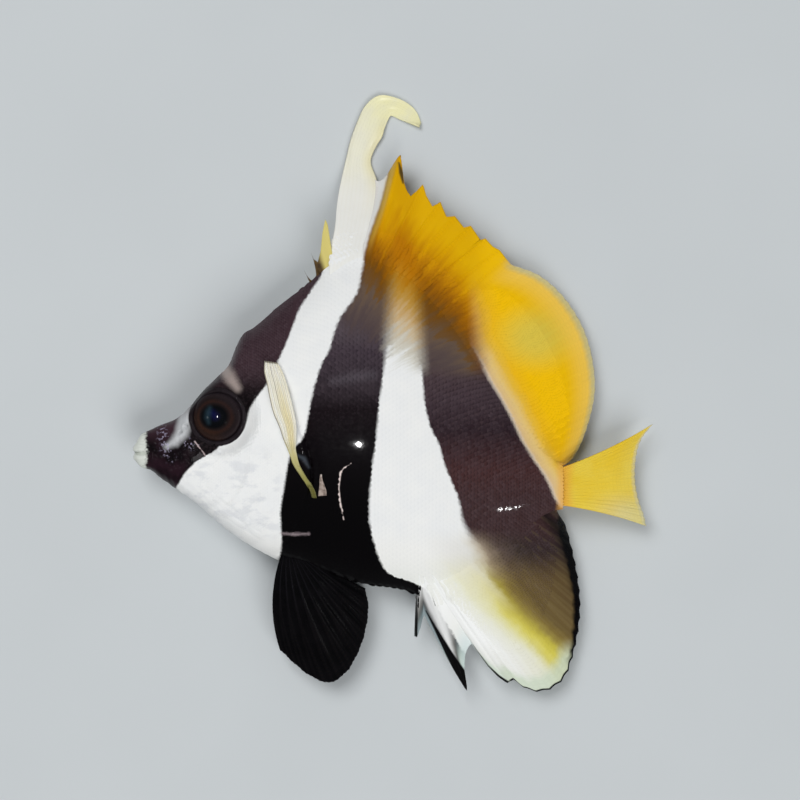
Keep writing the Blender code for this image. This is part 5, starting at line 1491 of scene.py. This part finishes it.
PECTORAL_RAYS = 13
PECTORAL_CLEAR = 0.45
FLAP_EDGES = [(0.0, -4.75, -6.3, -3.45, -6.2), (0.3, -4.65, -5.4, -3.5, -5.5), (0.6, -4.55, -4.5, -3.8, -4.6),
              (0.8, -4.5, -3.7, -4.05, -3.9), (1.0, -4.4, -3.0, -4.2, -2.95)]


def clear_web(wires, place, place_mm, rays):
    along_rays = wires.join(wires.times(rays["Number"], 0.9), wires.times(rays["Reach"], 1.2))
    streaks = wires.noise(along_rays, 1.0, 2.0)
    colour = wires.mix(wires.step(streaks, 0.35, 0.65), (250, 249, 242), (244, 238, 214))
    colour = wires.mix(wires.times(rays["Ray"], 0.4), colour, (250, 249, 242))
    yellow = wires.times(wires.near(rays["Number"], 7.5, 1.5, 2.5), wires.step(rays["Reach"], 0.95, 0.55))
    colour = wires.mix(wires.times(yellow, 0.5), colour, (236, 218, 146))
    # Painted shadow: a thin dark line between two rays in the outer part of the fin, added to the brown rim.
    fold_shadow_line = wires.times(wires.near(rays["Number"], 4.5, 0.06, 0.12), wires.step(rays["Reach"], 0.55, 0.8))
    rim = wires.math("MAXIMUM", wires.step(rays["Number"], 0.4, 0.15), wires.step(rays["Edge"], 0.4, 0.12))
    rim = wires.math("MAXIMUM", rim, fold_shadow_line)
    colour = wires.mix(wires.times(rim, 0.75), colour, (88, 70, 44))
    stalk = wires.ramp(rays["Reach"], 0.0, 0.5, [(0.0, (110, 108, 20)), (0.16, (138, 134, 52)),
                                                 (0.30, (190, 182, 120)), (0.46, (232, 222, 164))])
    colour = wires.mix(wires.step(rays["Reach"], 0.48, 0.30, 0.0, 0.9), colour, stalk)
    return colour, wires.step(rays["Ray"], 0.0, 1.0, 0.75, 0.95)


def flank_height(x, y):
    """Height of the upper flank above the floor at (x, y)."""
    return flesh(x, flank_turn(x, y))[..., 2] + np.maximum(relief(x, y), -0.2)


clear_material = fin_material("pectoral web", 0.4, clear_web, 0.26, 0.2)
number = np.linspace(0, PECTORAL_RAYS - 1, (PECTORAL_RAYS - 1) * 8 + 1)
u = number / (PECTORAL_RAYS - 1)
v = np.linspace(0, 1, 90)[:, None]
pleats = np.cos(np.pi * number)[None]
ridges = ray_ridges(number[None], 0.0, v, 0.16)
for word, edges in (("left", LEFT_EDGES), ("right", RIGHT_EDGES)):
    flat = between_edges(edges, u, v[:, 0])
    thick = 0.10 + 0.12 * ridges * (1 - 0.5 * v) + 0.5 * (1 - v) ** 6
    if word == "left":
        over = flank_height(flat[..., 0].mean(axis=1), flat[..., 1].mean(axis=1))[:, None]
        height = over + PECTORAL_CLEAR + 0.4 * v + 0.08 * pleats * ease(v, 0.05, 0.4)
        height = height - 0.55 * (1 - ease(v, 0.0, 0.14)) + 0.35 * ease(v, 0.92, 1.0) * (1 - u)[None]
    else:
        height = PECTORAL_CLEAR + 0.16 * pleats * ease(v, 0.05, 0.4)
    fin_sheet(f"pectoral_web_{word}", at_height(flat, height), thick, number, 0.0, clear_material,
              [f"pectoral_fin_{word}"])


def flap_skin(wires, place, place_mm, rays):
    cloud = wires.step(wires.noise(place_mm, 1.6, 3.0), 0.35, 0.65)
    colour = wires.mix(cloud, (120, 106, 98), (176, 160, 150))
    colour = wires.mix(wires.step(rays["Edge"], 0.5, 0.15), colour, (214, 200, 192))
    return colour, wires.step(rays["Edge"], 0.0, 0.3, 0.85, 1.0)


u, v = np.linspace(0, 1, 13), np.linspace(0, 1, 28)[:, None]
flat = between_edges(FLAP_EDGES, u, v[:, 0])
height = flank_height(flat[..., 0], flat[..., 1]) + 0.1 + 0.35 * v * u[None]
height = height + 0.08 * np.cos(3 * np.pi * u)[None] * v
thickness = 0.10 + 0.2 * (1 - v) + 0 * u[None]
flap_material = fin_material("axil skin", 0.5, flap_skin, 0.2, 0.3)
fin_sheet("axil_flap", at_height(flat, height), thickness, u * 2, 0.0, flap_material, [])


# Studio: a plain pale floor under soft lights, with small lamps that are only seen in wet surfaces, for
# the glints on flank and eye and the sheen of the snout.
FLOOR_REACH, FLOOR_LEVEL = 1500.0, -0.2

corners = [(x * FLOOR_REACH, y * FLOOR_REACH, FLOOR_LEVEL) for x, y in ((-1, -1), (1, -1), (1, 1), (-1, 1))]
floor = mesh_object("floor", corners, [(0, 1, 2, 3)])
floor_material, wires, shader = new_material("pale floor", roughness=0.75)
grain = wires.noise(wires.own_place(), 30.0, 2.0)
wires.feed(shader.inputs["Base Color"], wires.mix(grain, (198, 203, 205), (205, 210, 212)))
floor.data.materials.append(floor_material)


def lamp(name, place, size, watts, aim=(0.0, 0.0, 0.0), mirrored=False):
    """An area lamp aimed at a point: it lights the model, or if mirrored is only seen in wet surfaces."""
    light = bpy.data.lights.new(name, "AREA")
    light.size = size
    light.energy = watts
    holder = placed(name, light)
    holder.location = place
    towards = np.array(aim) - np.array(place)
    holder.rotation_euler = (math.atan2(math.hypot(towards[0], towards[1]), -towards[2]), 0.0,
                             math.atan2(towards[1], towards[0]) - math.pi / 2)
    holder.visible_glossy = mirrored
    holder.visible_diffuse = not mirrored


lamp("key", (-0.27, 0.34, 0.78), 0.50, 4.6)
lamp("fill", (0.25, -0.52, 0.70), 0.60, 4.1)
lamp("glint", (0.0149, 0.0224, 0.4435), 0.010, 0.20, mirrored=True)
lamp("second_glint", (0.2429, -0.1488, 0.4396), 0.006, 0.05, mirrored=True)
lamp("snout_sheen", (-0.317, 0.0, 0.41), 0.06, 0.06, mirrored=True)
world = bpy.data.worlds.new("studio")
bpy.context.scene.world = world
world.use_nodes = True
world.node_tree.nodes["Background"].inputs["Color"].default_value = (0.93, 0.96, 1.0, 1.0)
world.node_tree.nodes["Background"].inputs["Strength"].default_value = 0.17
